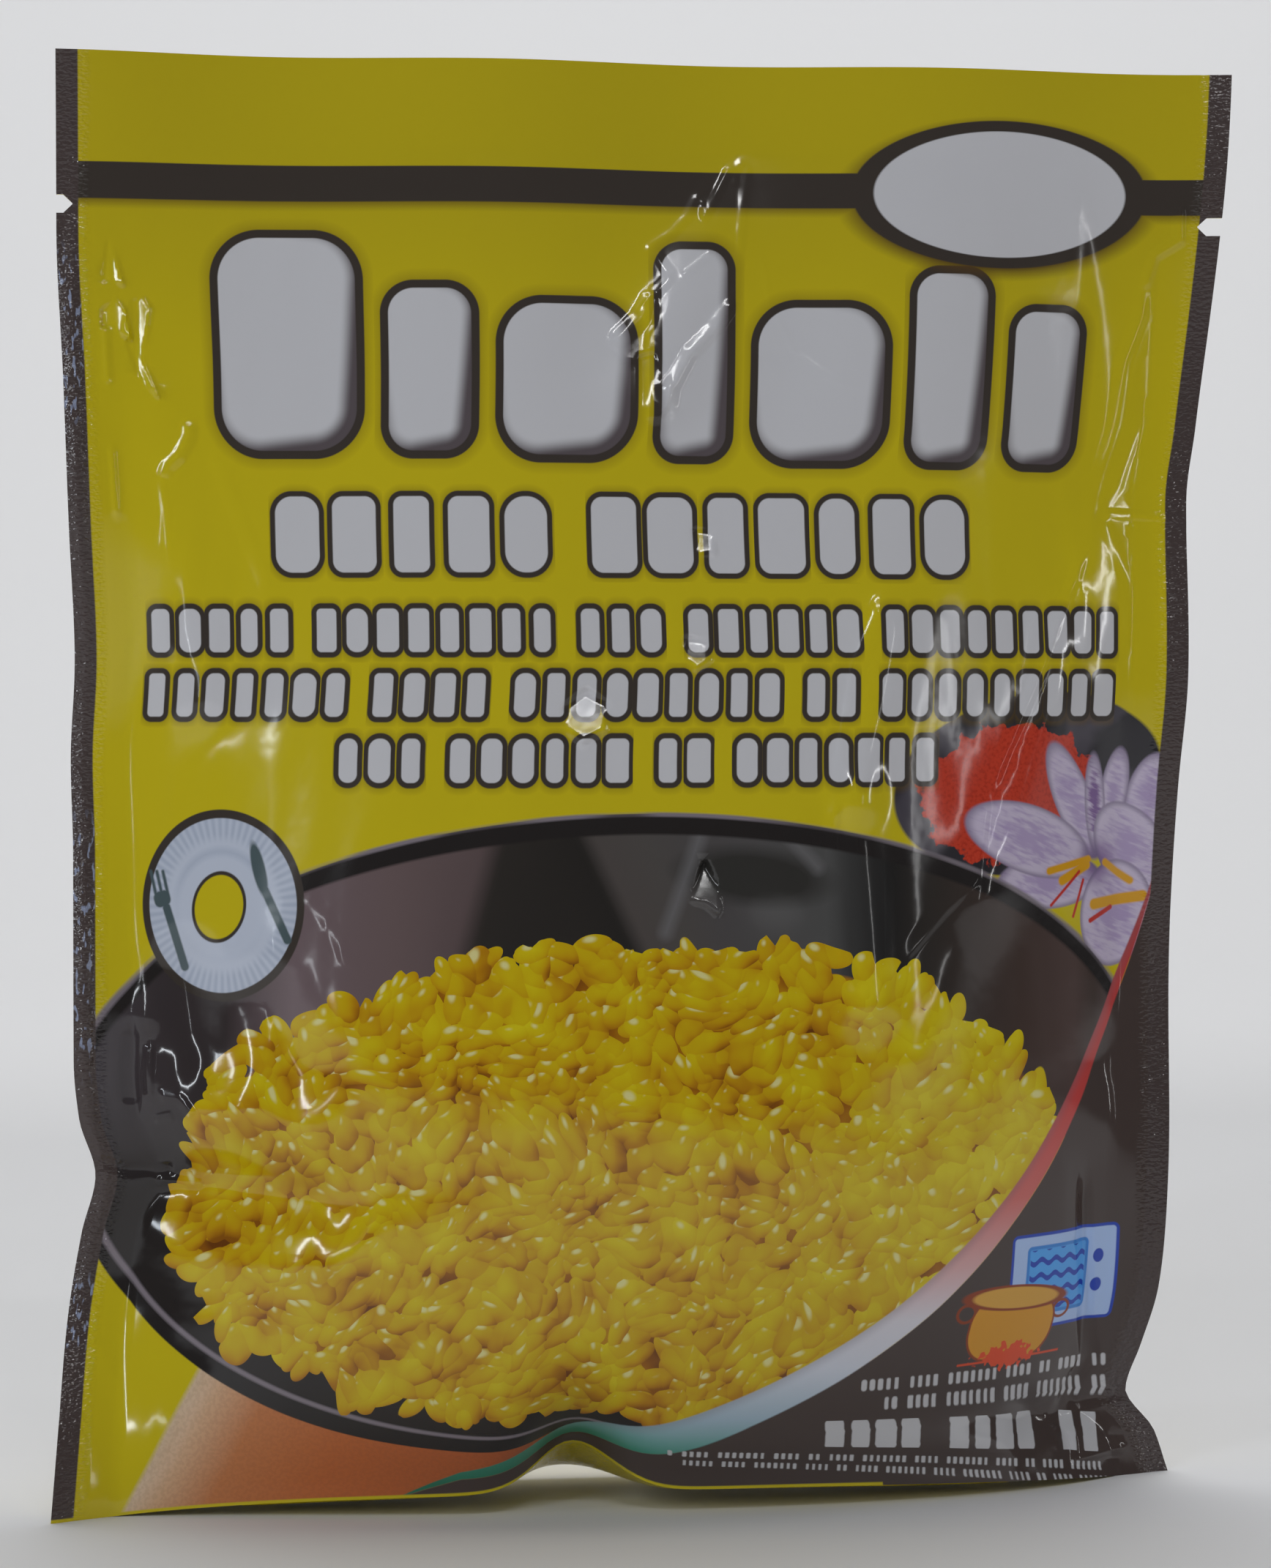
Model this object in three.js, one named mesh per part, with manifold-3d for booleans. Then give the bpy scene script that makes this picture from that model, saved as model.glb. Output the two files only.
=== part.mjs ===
// A sealed stand-up pouch of dry rice mix: two printed film panels welded down both sides and
// across the top, with a folded base that the contents press flat. It is full and shut, so it
// is one solid, crumpled as a filled pouch is, with a tear notch cut into each side seal.
// Millimetres, +Z up, front panel facing -Y, origin on the floor at the middle of the base.
import * as THREE from "three";
import { mergeVertices } from "three/addons/utils/BufferGeometryUtils.js";
import Module from "manifold-3d";

// Driving dimensions of the film.
const WIDTH = 165; // flat, outer edge to outer edge
const HEIGHT = 200; // standing, floor to top edge
const SIDE_SEAL = 8;
const TOP_SEAL = 12;
const SEAL_THICKNESS = 0.6;

// Columns run across a panel, rows run up it.
const SEAL_COLUMNS = 2;
const PANEL_COLUMNS = 34;
const ROWS = 44;
const ROW_CROWDING = 1.22; // over 1 sets the rows closer together near the base
const BASE_LINES = 8; // facets of the base from the front fold to the back fold

// How far each outer edge stands inside the flat film, as [height, inset].
const LEFT_INSET = [
  [0, -1.2], [12, -0.2], [25, 0.9], [38, 3.0], [46, 4.9], [54, 2.7], [62, 2.0],
  [90, 2.0], [103, 1.7], [117, 2.3], [135, 1.6], [155, 0.9], [176, 0], [200, 0],
];
const RIGHT_INSET = [
  [0, 6.7], [6, 8.8], [12.5, 13.4], [19, 11.8], [28, 10], [45, 9.1], [65, 8.4], [85, 7.7],
  [100, 7.3], [115, 6.4], [132, 6.2], [140, 5.9], [150, 4.3], [165, 2.5], [180, 1.3], [200, 0],
];

// How far the middle of a panel stands out from the seals' plane, as [height, depth].
const BELLY = [
  [0, 13.5], [20, 18.5], [45, 20.5], [75, 19], [110, 14.5], [145, 8.5], [170, 3.6], [188, 0],
];
const BELLY_ROUNDNESS = 2.3; // 2 is a plain arc across the panel, more is squarer
const WRAP = 0.6; // how much the film closes up towards the seals as it turns away

// The seals wave in depth, and the bottom corners stand out as flat ears.
const SEAL_WAVE = 1.3;
const SEAL_WAVE_LENGTH = 74;
const TOP_WAVE = 1.6;
const EARS = { left: -4.5, right: 3.0, height: 34 };

// The base: its folds ride up a little in the middle, and it tucks up beside the ears.
const FOLD_RISE = 3.2;
const FLAT_BASE_SHARE = 0.72; // of the depth from the middle to a fold
const TUCK_RISE = 11;
const TUCK_PLACE = 0.83; // share of the way from the middle to a side seal
const TUCK_SPREAD = 0.1;

// The pinch that lifts the front fold off the floor.
const PINCH = { x: -12.3, rise: 5.6, push: 7.5, spread: 7.2, height: 12 };

// Folds, ridges and dents pressed into a panel: from and to are [x, z], and lift is outwards.
const FRONT_FOLDS = [
  { from: [-78, 46], to: [-48, 43], lift: -3.4, spread: 4.2 }, // left pinch
  { from: [-76, 58], to: [-60, 56], lift: 2.0, spread: 5.5 },
  { from: [-66, 74], to: [-63, 62], lift: -2.0, spread: 4.6 }, // dent in the lower left
  { from: [-55, 70], to: [-50, 61], lift: -1.4, spread: 4.2 },
  { from: [72, 13], to: [54, 9], lift: -2.6, spread: 3.8 }, // right pinch
  { from: [63, 44], to: [62, 14], lift: -1.6, spread: 3.6 },
  { from: [73, 174], to: [64, 134], lift: 1.3, spread: 4.4 }, // long fold down the right
  { from: [64, 134], to: [44, 84], lift: 1.2, spread: 4.6 },
  { from: [44, 84], to: [34, 62], lift: 0.7, spread: 4.6 },
  { from: [31, 122], to: [26, 98], lift: 1.2, spread: 3.8 }, // upright crease
  { from: [26, 98], to: [28, 70], lift: 1.2, spread: 3.8 },
  { from: [-69, 152], to: [-64, 112], lift: 1.3, spread: 4.0 }, // upright fold on the left
  { from: [-76, 172], to: [-68, 158], lift: -1.0, spread: 4.0 },
  { from: [8, 178], to: [-2, 152], lift: 1.2, spread: 5.2 }, // puckers under the header
  { from: [-6, 176], to: [-12, 158], lift: -1.0, spread: 4.4 },
  { from: [24, 176], to: [16, 150], lift: -0.9, spread: 5.0 },
];
const BACK_FOLDS = [
  { from: [76, 58], to: [44, 50], lift: -2.8, spread: 4.6 },
  { from: [-74, 30], to: [-50, 36], lift: -2.4, spread: 4.6 },
  { from: [-66, 150], to: [-52, 104], lift: 1.4, spread: 4.6 },
  { from: [62, 160], to: [52, 112], lift: 1.3, spread: 4.6 },
  { from: [-10, 176], to: [4, 146], lift: 1.1, spread: 5.2 },
  { from: [20, 172], to: [26, 120], lift: -1.0, spread: 5.0 },
  { from: [6, 40], to: [18, 8], lift: -1.5, spread: 5.4 },
];

// Each notch is cut in from the edge at its height.
const NOTCHES = [
  { side: -1, z: 180, depth: 2.2 },
  { side: 1, z: 178.5, depth: 3.3 },
];
const NOTCH_MOUTH = 2.5;

const INNER = WIDTH / 2 - SIDE_SEAL;
const BODY_TOP = HEIGHT - TOP_SEAL;

// A smooth line through [place, value] knots, without overshoot.
function follow(knots, place) {
  const last = knots.length - 1;
  if (place <= knots[0][0]) return knots[0][1];
  if (place >= knots[last][0]) return knots[last][1];
  const k = knots.findIndex(([at]) => at > place) - 1;
  const slope = (i) => (knots[i + 1][1] - knots[i][1]) / (knots[i + 1][0] - knots[i][0]);
  const tangent = (i) => {
    if (i === 0 || i === last) return slope(Math.min(i, last - 1));
    const [before, after] = [slope(i - 1), slope(i)];
    return before * after <= 0 ? 0 : (2 * before * after) / (before + after);
  };
  const span = knots[k + 1][0] - knots[k][0];
  const u = (place - knots[k][0]) / span;
  return (
    (1 + 2 * u) * (1 - u) ** 2 * knots[k][1] +
    u * (1 - u) ** 2 * span * tangent(k) +
    u * u * (3 - 2 * u) * knots[k + 1][1] +
    u * u * (u - 1) * span * tangent(k + 1)
  );
}

const ease = (u) => {
  const c = THREE.MathUtils.clamp(u, 0, 1);
  return c * c * (3 - 2 * c);
};

// The outward push of one fold at a point of the panel.
function foldLift({ from, to, lift, spread }, x, z) {
  const [dx, dz] = [to[0] - from[0], to[1] - from[1]];
  const along = ((x - from[0]) * dx + (z - from[1]) * dz) / (dx * dx + dz * dz);
  const near = THREE.MathUtils.clamp(along, 0, 1);
  const away = Math.hypot(x - from[0] - near * dx, z - from[1] - near * dz);
  return lift * Math.exp(-((away / spread) ** 2));
}

// Where the film's flat place across (from -1 to 1 between the side seals) stands in x.
function acrossToX(across, z) {
  const left = -WIDTH / 2 + follow(LEFT_INSET, z);
  const right = WIDTH / 2 - follow(RIGHT_INSET, z);
  const flat = across * INNER;
  if (across < -1) return left + (flat + WIDTH / 2);
  if (across > 1) return right + (flat - WIDTH / 2);
  const middle = (left + right) / 2;
  const reach = (right - left) / 2 - SIDE_SEAL;
  const wrap = WRAP * (follow(BELLY, z) / BELLY[2][1]);
  const turned = wrap > 1e-6 ? Math.sin(wrap * across) / Math.sin(wrap) : across;
  return middle + reach * turned;
}

// The plane of the seals is not quite flat: this is its depth.
function sealPlane(across, z) {
  const outer = Math.min(Math.abs(across), 1.1) ** 5;
  const wave = SEAL_WAVE * outer * Math.sin((2 * Math.PI * z) / SEAL_WAVE_LENGTH + across);
  const ear = (across < 0 ? EARS.left : EARS.right) * outer * (1 - ease(z / EARS.height));
  const top = TOP_WAVE * ease(z / HEIGHT) ** 3 * Math.sin(2.4 * Math.PI * across + 0.6);
  return wave + ear + top;
}

const lens = (across) => Math.max(0, 1 - Math.abs(across) ** BELLY_ROUNDNESS);

// One point of a panel. side is -1 for the front and 1 for the back.
function panelPoint(across, height, side) {
  let z = height;
  let depth = SEAL_THICKNESS / 2 + follow(BELLY, height) * lens(across);
  const x = acrossToX(across, z);
  const folds = side < 0 ? FRONT_FOLDS : BACK_FOLDS;
  const room = Math.min(1, depth / 5) * ease((BODY_TOP - height) / 14);
  for (const fold of folds) depth += room * foldLift(fold, x, z);
  const low = 1 - ease(height / 22);
  z += FOLD_RISE * lens(across) * low ** 3;
  if (side < 0) {
    const pinched = Math.exp(-(((x - PINCH.x) / PINCH.spread) ** 2));
    const reach = (1 - ease(height / (2.2 * PINCH.height))) * pinched;
    depth -= PINCH.push * reach;
    z += PINCH.rise * pinched * Math.exp(-height / PINCH.height);
  }
  depth = Math.max(depth, SEAL_THICKNESS / 2);
  return new THREE.Vector3(x, side * depth + sealPlane(across, z), z);
}

// The points of the base under one column, between the front fold and the back fold.
function baseColumn(across, front, back) {
  const tuckReach = (Math.abs(across) - TUCK_PLACE) / TUCK_SPREAD;
  const tuck = TUCK_RISE * Math.exp(-(tuckReach ** 2));
  const points = [];
  for (let k = 1; k < BASE_LINES; k++) {
    const share = k / BASE_LINES;
    const out = Math.abs(2 * share - 1);
    const rise = ease((out - FLAT_BASE_SHARE) / (1 - FLAT_BASE_SHARE));
    const fold = THREE.MathUtils.lerp(front.z, back.z, share < 0.5 ? 0 : 1);
    const lifted = tuck > 0.3 ? tuck * (1 - out ** 2) : 0;
    const point = new THREE.Vector3().lerpVectors(front, back, share);
    point.z = Math.max(fold * rise, lifted * (1 - rise));
    points.push(point);
  }
  return points;
}

// Triangles between two open rows of vertex numbers, whatever their lengths.
function zip(a, b, triangles) {
  let [i, j] = [0, 0];
  while (i < a.length - 1 || j < b.length - 1) {
    const nextA = (i + 1) / Math.max(1, a.length - 1);
    const nextB = (j + 1) / Math.max(1, b.length - 1);
    if (j >= b.length - 1 || (i < a.length - 1 && nextA <= nextB)) {
      triangles.push(a[i], a[i + 1], b[j]);
      i++;
    } else {
      triangles.push(a[i], b[j + 1], b[j]);
      j++;
    }
  }
}

function columnPlaces() {
  const places = [];
  const outer = 1 + SIDE_SEAL / INNER;
  for (let i = 0; i < SEAL_COLUMNS; i++) {
    places.push(-outer + (i / SEAL_COLUMNS) * (outer - 1));
  }
  for (let i = 0; i <= PANEL_COLUMNS; i++) places.push(-1 + (2 * i) / PANEL_COLUMNS);
  for (let i = 1; i <= SEAL_COLUMNS; i++) places.push(1 + (i / SEAL_COLUMNS) * (outer - 1));
  return places;
}

function rowHeights() {
  const heights = [];
  for (let j = 0; j <= ROWS; j++) heights.push(BODY_TOP * (j / ROWS) ** ROW_CROWDING);
  heights.push(HEIGHT - TOP_SEAL / 2, HEIGHT);
  return heights;
}

// The closed skin of the pouch: both panels, the base, and the thin edges of the seals.
function pouchGeometry() {
  const positions = [];
  const triangles = [];
  const add = (p) => positions.push(p.x, p.y, p.z) / 3 - 1;
  const places = columnPlaces();
  const heights = rowHeights();
  const panel = (side) =>
    places.map((across) => heights.map((h) => add(panelPoint(across, h, side))));
  const front = panel(-1);
  const back = panel(1);
  const at = (n) => new THREE.Vector3().fromArray(positions, 3 * n);
  const bases = places.map((across, i) => {
    const ends = [front[i][0], back[i][0]];
    if (Math.abs(across) >= 1 - 1e-9) return ends;
    const between = baseColumn(across, at(ends[0]), at(ends[1])).map(add);
    return [ends[0], ...between, ends[1]];
  });
  for (let i = 0; i < places.length - 1; i++) {
    zip(front[i + 1], front[i], triangles);
    zip(back[i], back[i + 1], triangles);
    zip(bases[i], bases[i + 1], triangles);
    const top = heights.length - 1;
    zip([front[i + 1][top], back[i + 1][top]], [front[i][top], back[i][top]], triangles);
  }
  zip(front[0], back[0], triangles);
  zip(back[places.length - 1], front[places.length - 1], triangles);
  const geometry = new THREE.BufferGeometry();
  geometry.setAttribute("position", new THREE.Float32BufferAttribute(positions, 3));
  geometry.setIndex(triangles);
  return geometry;
}

// A slot that runs in from outside the film's edge and ends in a point.
function notchGeometry({ side, z, depth }) {
  const edge = acrossToX(side * (1 + SIDE_SEAL / INNER), z);
  const half = NOTCH_MOUTH / 2;
  const outline = new THREE.Shape();
  outline.moveTo(edge + side * 4, -half);
  outline.lineTo(edge - side * (depth - half), -half);
  outline.lineTo(edge - side * depth, 0);
  outline.lineTo(edge - side * (depth - half), half);
  outline.lineTo(edge + side * 4, half);
  outline.closePath();
  const slot = new THREE.ExtrudeGeometry(outline, { depth: 12, bevelEnabled: false });
  slot.translate(0, 0, -6).rotateX(Math.PI / 2).translate(0, 0, z);
  return slot;
}

const wasm = await Module();
wasm.setup();

function solid(geometry) {
  const bare = geometry.clone();
  bare.deleteAttribute("normal");
  bare.deleteAttribute("uv");
  const merged = mergeVertices(bare, 1e-4);
  return new wasm.Manifold(
    new wasm.Mesh({
      numProp: 3,
      vertProperties: merged.attributes.position.array,
      triVerts: new Uint32Array(merged.index.array),
    }),
  );
}

function geometryOf(manifold) {
  const mesh = manifold.getMesh();
  const geometry = new THREE.BufferGeometry();
  geometry.setAttribute("position", new THREE.BufferAttribute(mesh.vertProperties, 3));
  geometry.setIndex(new THREE.BufferAttribute(mesh.triVerts, 1));
  geometry.computeVertexNormals();
  return geometry;
}

const notched = NOTCHES.reduce(
  (body, notch) => body.subtract(solid(notchGeometry(notch))),
  solid(pouchGeometry()),
);
const film = new THREE.MeshStandardMaterial({ color: 0xb4a41c, roughness: 0.3, metalness: 0 });
const pouch = new THREE.Mesh(geometryOf(notched), film);
pouch.name = "pouch";

// The middle of the base goes to the origin.
const box = new THREE.Box3().setFromObject(pouch);
pouch.position.set(-(box.min.x + box.max.x) / 2, -(box.min.y + box.max.y) / 2, -box.min.z);

const group = new THREE.Group();
group.add(pouch);
export default group;
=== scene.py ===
"""Looks of a shut stand-up pouch of dry rice mix: glossy printed film, welded seals and creases."""

import math
from functools import partialmethod

import bpy
import numpy as np
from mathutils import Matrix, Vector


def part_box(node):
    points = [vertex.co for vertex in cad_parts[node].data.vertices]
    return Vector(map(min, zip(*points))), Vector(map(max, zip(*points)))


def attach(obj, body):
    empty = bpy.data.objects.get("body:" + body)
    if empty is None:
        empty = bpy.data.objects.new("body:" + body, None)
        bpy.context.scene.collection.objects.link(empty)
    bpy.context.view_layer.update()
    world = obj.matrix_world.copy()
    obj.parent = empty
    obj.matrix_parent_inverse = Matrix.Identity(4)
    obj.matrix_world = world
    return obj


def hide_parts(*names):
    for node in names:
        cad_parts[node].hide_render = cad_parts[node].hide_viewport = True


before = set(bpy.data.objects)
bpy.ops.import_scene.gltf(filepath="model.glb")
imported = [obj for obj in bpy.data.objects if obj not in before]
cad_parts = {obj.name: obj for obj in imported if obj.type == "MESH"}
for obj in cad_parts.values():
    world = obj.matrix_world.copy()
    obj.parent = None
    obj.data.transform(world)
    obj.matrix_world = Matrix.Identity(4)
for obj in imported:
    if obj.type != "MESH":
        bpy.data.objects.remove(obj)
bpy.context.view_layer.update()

MM = 0.001

# ---------------------------------------------------------------- the film's driving sizes, mm
WIDTH = 165.0
HEIGHT = 200.0
SIDE_SEAL = 8.0
TOP_SEAL = 12.0
SEAL_THICKNESS = 0.6
INNER = WIDTH / 2 - SIDE_SEAL
BODY_TOP = HEIGHT - TOP_SEAL

MESH_STEP = 1.2  # between the film's own grid lines
CREASE_CUTS = 3  # in each face beside a sharp crease of the front
DIVIDED_MARGIN = 0.3  # from a crease's foot to the faces that stay whole
BASE_LINES = 20
BASE_PRINT_DEPTH = 30.0  # the base lies this far down in the print
JOIN_GAP = 0.01  # points nearer than this are one
SMOOTH_ANGLE = math.radians(50)

# How far each outer edge stands inside the flat film, as (height, inset).
LEFT_INSET = (
    (0, -1.2), (12, -0.2), (25, 0.9), (38, 3.0), (46, 4.9), (54, 2.7), (62, 2.0),
    (90, 2.0), (103, 1.7), (117, 2.3), (135, 1.6), (155, 0.9), (176, 0), (200, 0),
)
RIGHT_INSET = (
    (0, 6.7), (6, 8.8), (12.5, 13.4), (19, 11.8), (28, 10), (45, 9.1), (65, 8.4), (85, 7.7),
    (100, 7.3), (115, 6.4), (132, 6.2), (140, 5.9), (150, 4.3), (165, 2.5), (180, 1.3), (200, 0),
)

# How far the middle of a panel stands out from the seals, as (height, depth).
BELLY = (
    (0, 13.5), (20, 18.5), (45, 20.5), (75, 19), (110, 14.5), (145, 8.5), (170, 3.6), (188, 0),
)
BELLY_ROUNDNESS = 2.3
WRAP = 0.6
WIDEST_BELLY = 20.5

SEAL_WAVE = 1.3
SEAL_WAVE_LENGTH = 74.0
TOP_WAVE = 1.6
LEFT_EAR, RIGHT_EAR, EAR_HEIGHT = -4.5, 3.0, 34.0

FOLD_RISE, FOLD_REACH = 3.2, 22.0
PLAIN_FOOT = 3.0  # no crease reaches the base fold
WELD_BLEND = 4.0
FOLD_ROOM_DEPTH, FOLD_ROOM_HEIGHT = 5.0, 14.0  # folds fade out where the pack is thin
FLAT_BASE_SHARE = 0.3
BASE_SAG = 0.75
TUCK_RISE, TUCK_PLACE, TUCK_SPREAD = 11.0, 0.83, 0.1
PINCH_X, PINCH_RISE, PINCH_PUSH, PINCH_SPREAD, PINCH_HEIGHT = -12.3, 5.6, 7.5, 7.2, 12.0

NOTCHES = ((-1, 179.3, 2.2), (1, 178.5, 3.3))  # side, height, depth
NOTCH_MOUTH = 2.5
CUTTER_LENGTH, CUTTER_OUTSIDE = 12, 4

# Folds pressed into a panel, in the panel's own x and z: from, to, lift outwards, spread.
FRONT_FOLDS = (
    ((-78, 46), (-48, 43), -3.4, 4.2),
    ((-76, 58), (-60, 56), 2.0, 5.5),
    ((-66, 74), (-63, 62), -2.0, 4.6),
    ((-55, 70), (-50, 61), -1.4, 4.2),
    ((72, 13), (54, 9), -2.6, 3.8),
    ((63, 44), (62, 14), -1.6, 3.6),
    ((73, 174), (64, 134), 1.3, 4.4),
    ((64, 134), (44, 84), 1.2, 4.6),
    ((44, 84), (34, 62), 0.7, 4.6),
    ((31, 122), (26, 98), 1.2, 3.8),
    ((26, 98), (28, 70), 1.2, 3.8),
    ((-69, 152), (-64, 112), 1.3, 4.0),
    ((-76, 172), (-68, 158), -1.0, 4.0),
    ((8, 178), (-2, 152), 1.2, 5.2),
    ((-6, 176), (-12, 158), -0.35, 4.8),
    ((24, 176), (16, 150), -0.5, 5.4),
)
BACK_FOLDS = (
    ((76, 58), (44, 50), -2.8, 4.6),
    ((-74, 30), (-50, 36), -2.4, 4.6),
    ((-66, 150), (-52, 104), 1.4, 4.6),
    ((62, 160), (52, 112), 1.3, 4.6),
    ((-10, 176), (4, 146), 1.1, 5.2),
    ((20, 172), (26, 120), -1.0, 5.0),
    ((6, 40), (18, 8), -1.5, 5.4),
)

# Sharp creases of the front film, in film millimetres. One that glints has its route, the lamp that
# one flank mirrors, and how wide that flank and the other are. A plain one has its route, its lift,
# and its widths right and left of a walk along it.
FRONT_CREASES = (
    (((72.6, 169), (72.6, 165.9), (70.7, 159.3), (70.4, 150.9), (68.1, 139.9), (67.3, 136)),
     "right_window", 0.9, 2),
    (((76.6, 181.5), (77, 176.5), (73.6, 174.3), (72.6, 169.5)), "right_window", 0.8, 1.4),
    (((67.1, 133.3), (62.4, 123.7), (57.5, 113.3), (50.8, 99.1)), "right_window", 0.8, 1.6),
    (((50.1, 98.1), (48.1, 86.9), (43, 82.4), (36.8, 75.9)), 0.24, 2, 0.8),
    (((74.8, 152.4), (73.4, 148.4), (71.9, 141.7), (69.5, 138.6)), 0.12, 1.6, 1.2),
    (((69.5, 137.7), (74.7, 137.6), (77.9, 137.4), (82.4, 136.9)), 0.3, 1, 0.9),
    (((69.5, 136.9), (72.1, 132.5), (73.9, 128.1), (74.3, 120)), 0.14, 1.6, 1.2),
    (((33.2, 125.6), (32.6, 123), (29.1, 116.2), (27.5, 106.1), (26.4, 98.6)),
     "left_window", 1, 2),
    (((26.4, 97.8), (26, 92), (27.2, 80.7), (28.8, 71.5)), "right_slit", 0.9, 1.6),
    (((6.7, 182), (5.2, 178.8), (3, 176.4), (-0.7, 174)), "tube", 0.8, 0.9),
    (((-0.7, 174), (1, 172.9), (2.8, 170.1)), "tube", 0.8, 0.9),
    (((2.8, 170.1), (0.3, 167.4)), "tube", 1, 1),
    (((0.3, 167.4), (-1.5, 164), (-5.1, 160.7)), "tube", 1.8, 1.3),
    (((12, 183.3), (12, 185.6), (13.1, 186.8)), "key", 0.9, 0.9),
    (((13.1, 186.8), (13.7, 185.6), (13.2, 180.6), (12.6, 173.3), (12.2, 167)), "key", 1, 0.9),
    (((12.2, 167), (9, 162.6), (5.7, 159.3), (3, 154.3), (2.9, 151)), "tube", 1.8, 1.2),
    (((11.3, 186), (9, 181.2), (7.7, 178.4)), "tube", 0.8, 0.8),
    (((7.7, 178.4), (7.2, 181.2)), 0.16, 0.8, 0.8),
    (((4.5, 170.2), (8.7, 173.6)), "tube", 0.9, 0.8),
    (((15.7, 174.3), (17, 167), (20.7, 159.8), (26.8, 155.5), (36, 152.8)), 0.07, 0.6, 0.6),
    (((-76.5, 162.5), (-76.5, 154.5)), "left_window", 0.7, 0.8),
    (((-76.4, 146), (-76, 136.4)), "left_window", 0.6, 0.9),
    (((-65.4, 149.5), (-65.4, 147.5), (-66.9, 144.9), (-68.6, 143.4), (-69.4, 141.8)),
     "left_window", 1.2, 1.6),
    (((-69.4, 141.8), (-68.8, 137.3), (-69, 126.1), (-68.6, 117.4)), "left_window", 1, 1),
    (((-61.7, 145.6), (-54.3, 126.4)), 0.16, 1.6, 1.6),
    (((-80.9, 177), (-80.9, 20)), "left_window", 1.7, 1.4),
    (((-48.2, 85), (-44.4, 80.5), (-41.7, 74.9)), "left_slit", 1, 1.4),
    (((-53.1, 80), (-52.6, 73.7), (-52.7, 63.8)), "left_slit", 1, 1.4),
    (((-71.7, 64), (-72.1, 57.4)), 0.7, 1.2, 1),
    (((-74.6, 66), (-75, 56)), -0.8, 1.6, 1.4),
    (((-70.4, 57.3), (-67.5, 57.2), (-65.4, 54.8)), 0.5, 1.1, 1.1),
    (((-71.7, 54), (-68.7, 54.7)), 0.45, 1, 1),
    (((-81.7, 48.1), (-78.5, 46.8), (-70.9, 46.9)), -0.7, 1.3, 1.3),
    (((-74, 45.3), (-66, 44.8)), 0.6, 1.1, 1.1),
    (((69, 44), (69.7, 35.4), (71.9, 24.2), (75.1, 17.7), (72.8, 11), (67.7, 7.6), (66.2, 2.6)),
     -1.1, 1.8, 1.8),
    (((82.5, 12.4), (80.4, 11.5), (72.8, 11)), -0.6, 1.2, 1.2),
    (((66.7, 2.6), (72.2, 3.5), (77, 4)), 0.45, 1, 1),
)
# Small flats pressed into the front film: outline, slope across, slope up, width of the rim.
FRONT_FLATS = (
    (((-11.8, 110.4), (-9.4, 112.2), (-6.6, 110.6), (-6.9, 107.6), (-9.6, 106.2), (-11.9, 107.8)),
     (0.062, -0.242), 1.2),
    (((5.2, 119.6), (7.3, 119.2), (7.9, 117), (6.2, 115.9), (4.8, 117.6)), (0.126, -0.215), 1),
    (((7, 134.6), (9, 134.2), (9.2, 131.8), (7.2, 131.6)), (0.106, -0.165), 1),
    (((-75.4, 174.2), (-74.6, 172), (-73.7, 168.3), (-75.1, 169), (-76.3, 168.9)), (0.405, 0), 0.5),
    (((-76.5, 164.8), (-74.8, 166.2), (-73.7, 164.9), (-73.2, 160.8), (-74.9, 162.4),
      (-76.7, 162.7)),
     (0.43, 0), 0.5),
    (((-72.3, 165.9), (-70.9, 166.4), (-70.2, 165.2), (-70.9, 161.3), (-71.7, 158.9),
      (-72.5, 160.6)),
     (0.36, 0), 0.5),
    (((-73.4, 160.6), (-71.9, 158.6), (-71, 156.6), (-69.5, 153), (-72.2, 156.2)),
     (0.346, -0.006), 0.5),
    (((0.3, 166.8), (-0.1, 163.5), (-1.1, 162.1), (-1.8, 158.2), (-3.8, 158.5), (-5.5, 160.7)),
     (-0.06, -0.01), 0.8),
    (((-1.4, 158.5), (0.1, 158.9), (2.5, 154.7), (2.1, 151.7), (1.1, 150.4), (-0.3, 150.5),
      (-1.3, 152)),
     (0.13, -0.09), 0.8),
    (((7.5, 89.2), (9.2, 85.8), (9.2, 82.8), (7.7, 84), (5.7, 84.5)), (0.06, -0.395), 0.8),
)
# Round bumps and dents of the front film: place, lift, radius.
FRONT_BUMPS = (
    ((-72.7, 68.2), 0.9, 2.6),
    ((-66.4, 62), 0.8, 2.2),
    ((17, 88), 1.1, 7.0),
    ((72.6, 60), -1.2, 4.5),
)
BACK_CREASES = (
    (((60, 170), (66, 150), (58, 118), (46, 92)), 0.4, 1.0, 2.2),
    (((-30, 150), (-24, 110), (-27, 80)), 0.4, 2.0, 1.0),
    (((-70, 160), (-72, 130), (-66, 96)), 0.35, 1.0, 1.8),
    (((10, 180), (2, 160), (12, 140)), 0.25, 1.0, 1.6),
    (((78, 46), (66, 44), (52, 46)), -0.6, 1.4, 1.4),
    (((-76, 30), (-62, 34)), -0.6, 1.3, 1.3),
)


# ---------------------------------------------------------------- the film's shape
def follow(knots, place):
    """A smooth line through (place, value) knots, without overshoot."""
    at, value = np.array(knots, float).T
    slope = np.diff(value) / np.diff(at)
    before, after = slope[:-1], slope[1:]
    turning = before * after <= 0
    blend = np.where(turning, 1.0, before + after)
    tangent = np.concatenate(
        ([slope[0]], np.where(turning, 0.0, 2 * before * after / blend), [slope[-1]])
    )
    here = np.clip(place, at[0], at[-1])
    k = np.clip(np.searchsorted(at, here, side="right") - 1, 0, len(at) - 2)
    span = at[k + 1] - at[k]
    u = (here - at[k]) / span
    return (
        (1 + 2 * u) * (1 - u) ** 2 * value[k]
        + u * (1 - u) ** 2 * span * tangent[k]
        + u * u * (3 - 2 * u) * value[k + 1]
        + u * u * (u - 1) * span * tangent[k + 1]
    )


def ease(u):
    c = np.clip(u, 0, 1)
    return c * c * (3 - 2 * c)


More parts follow.
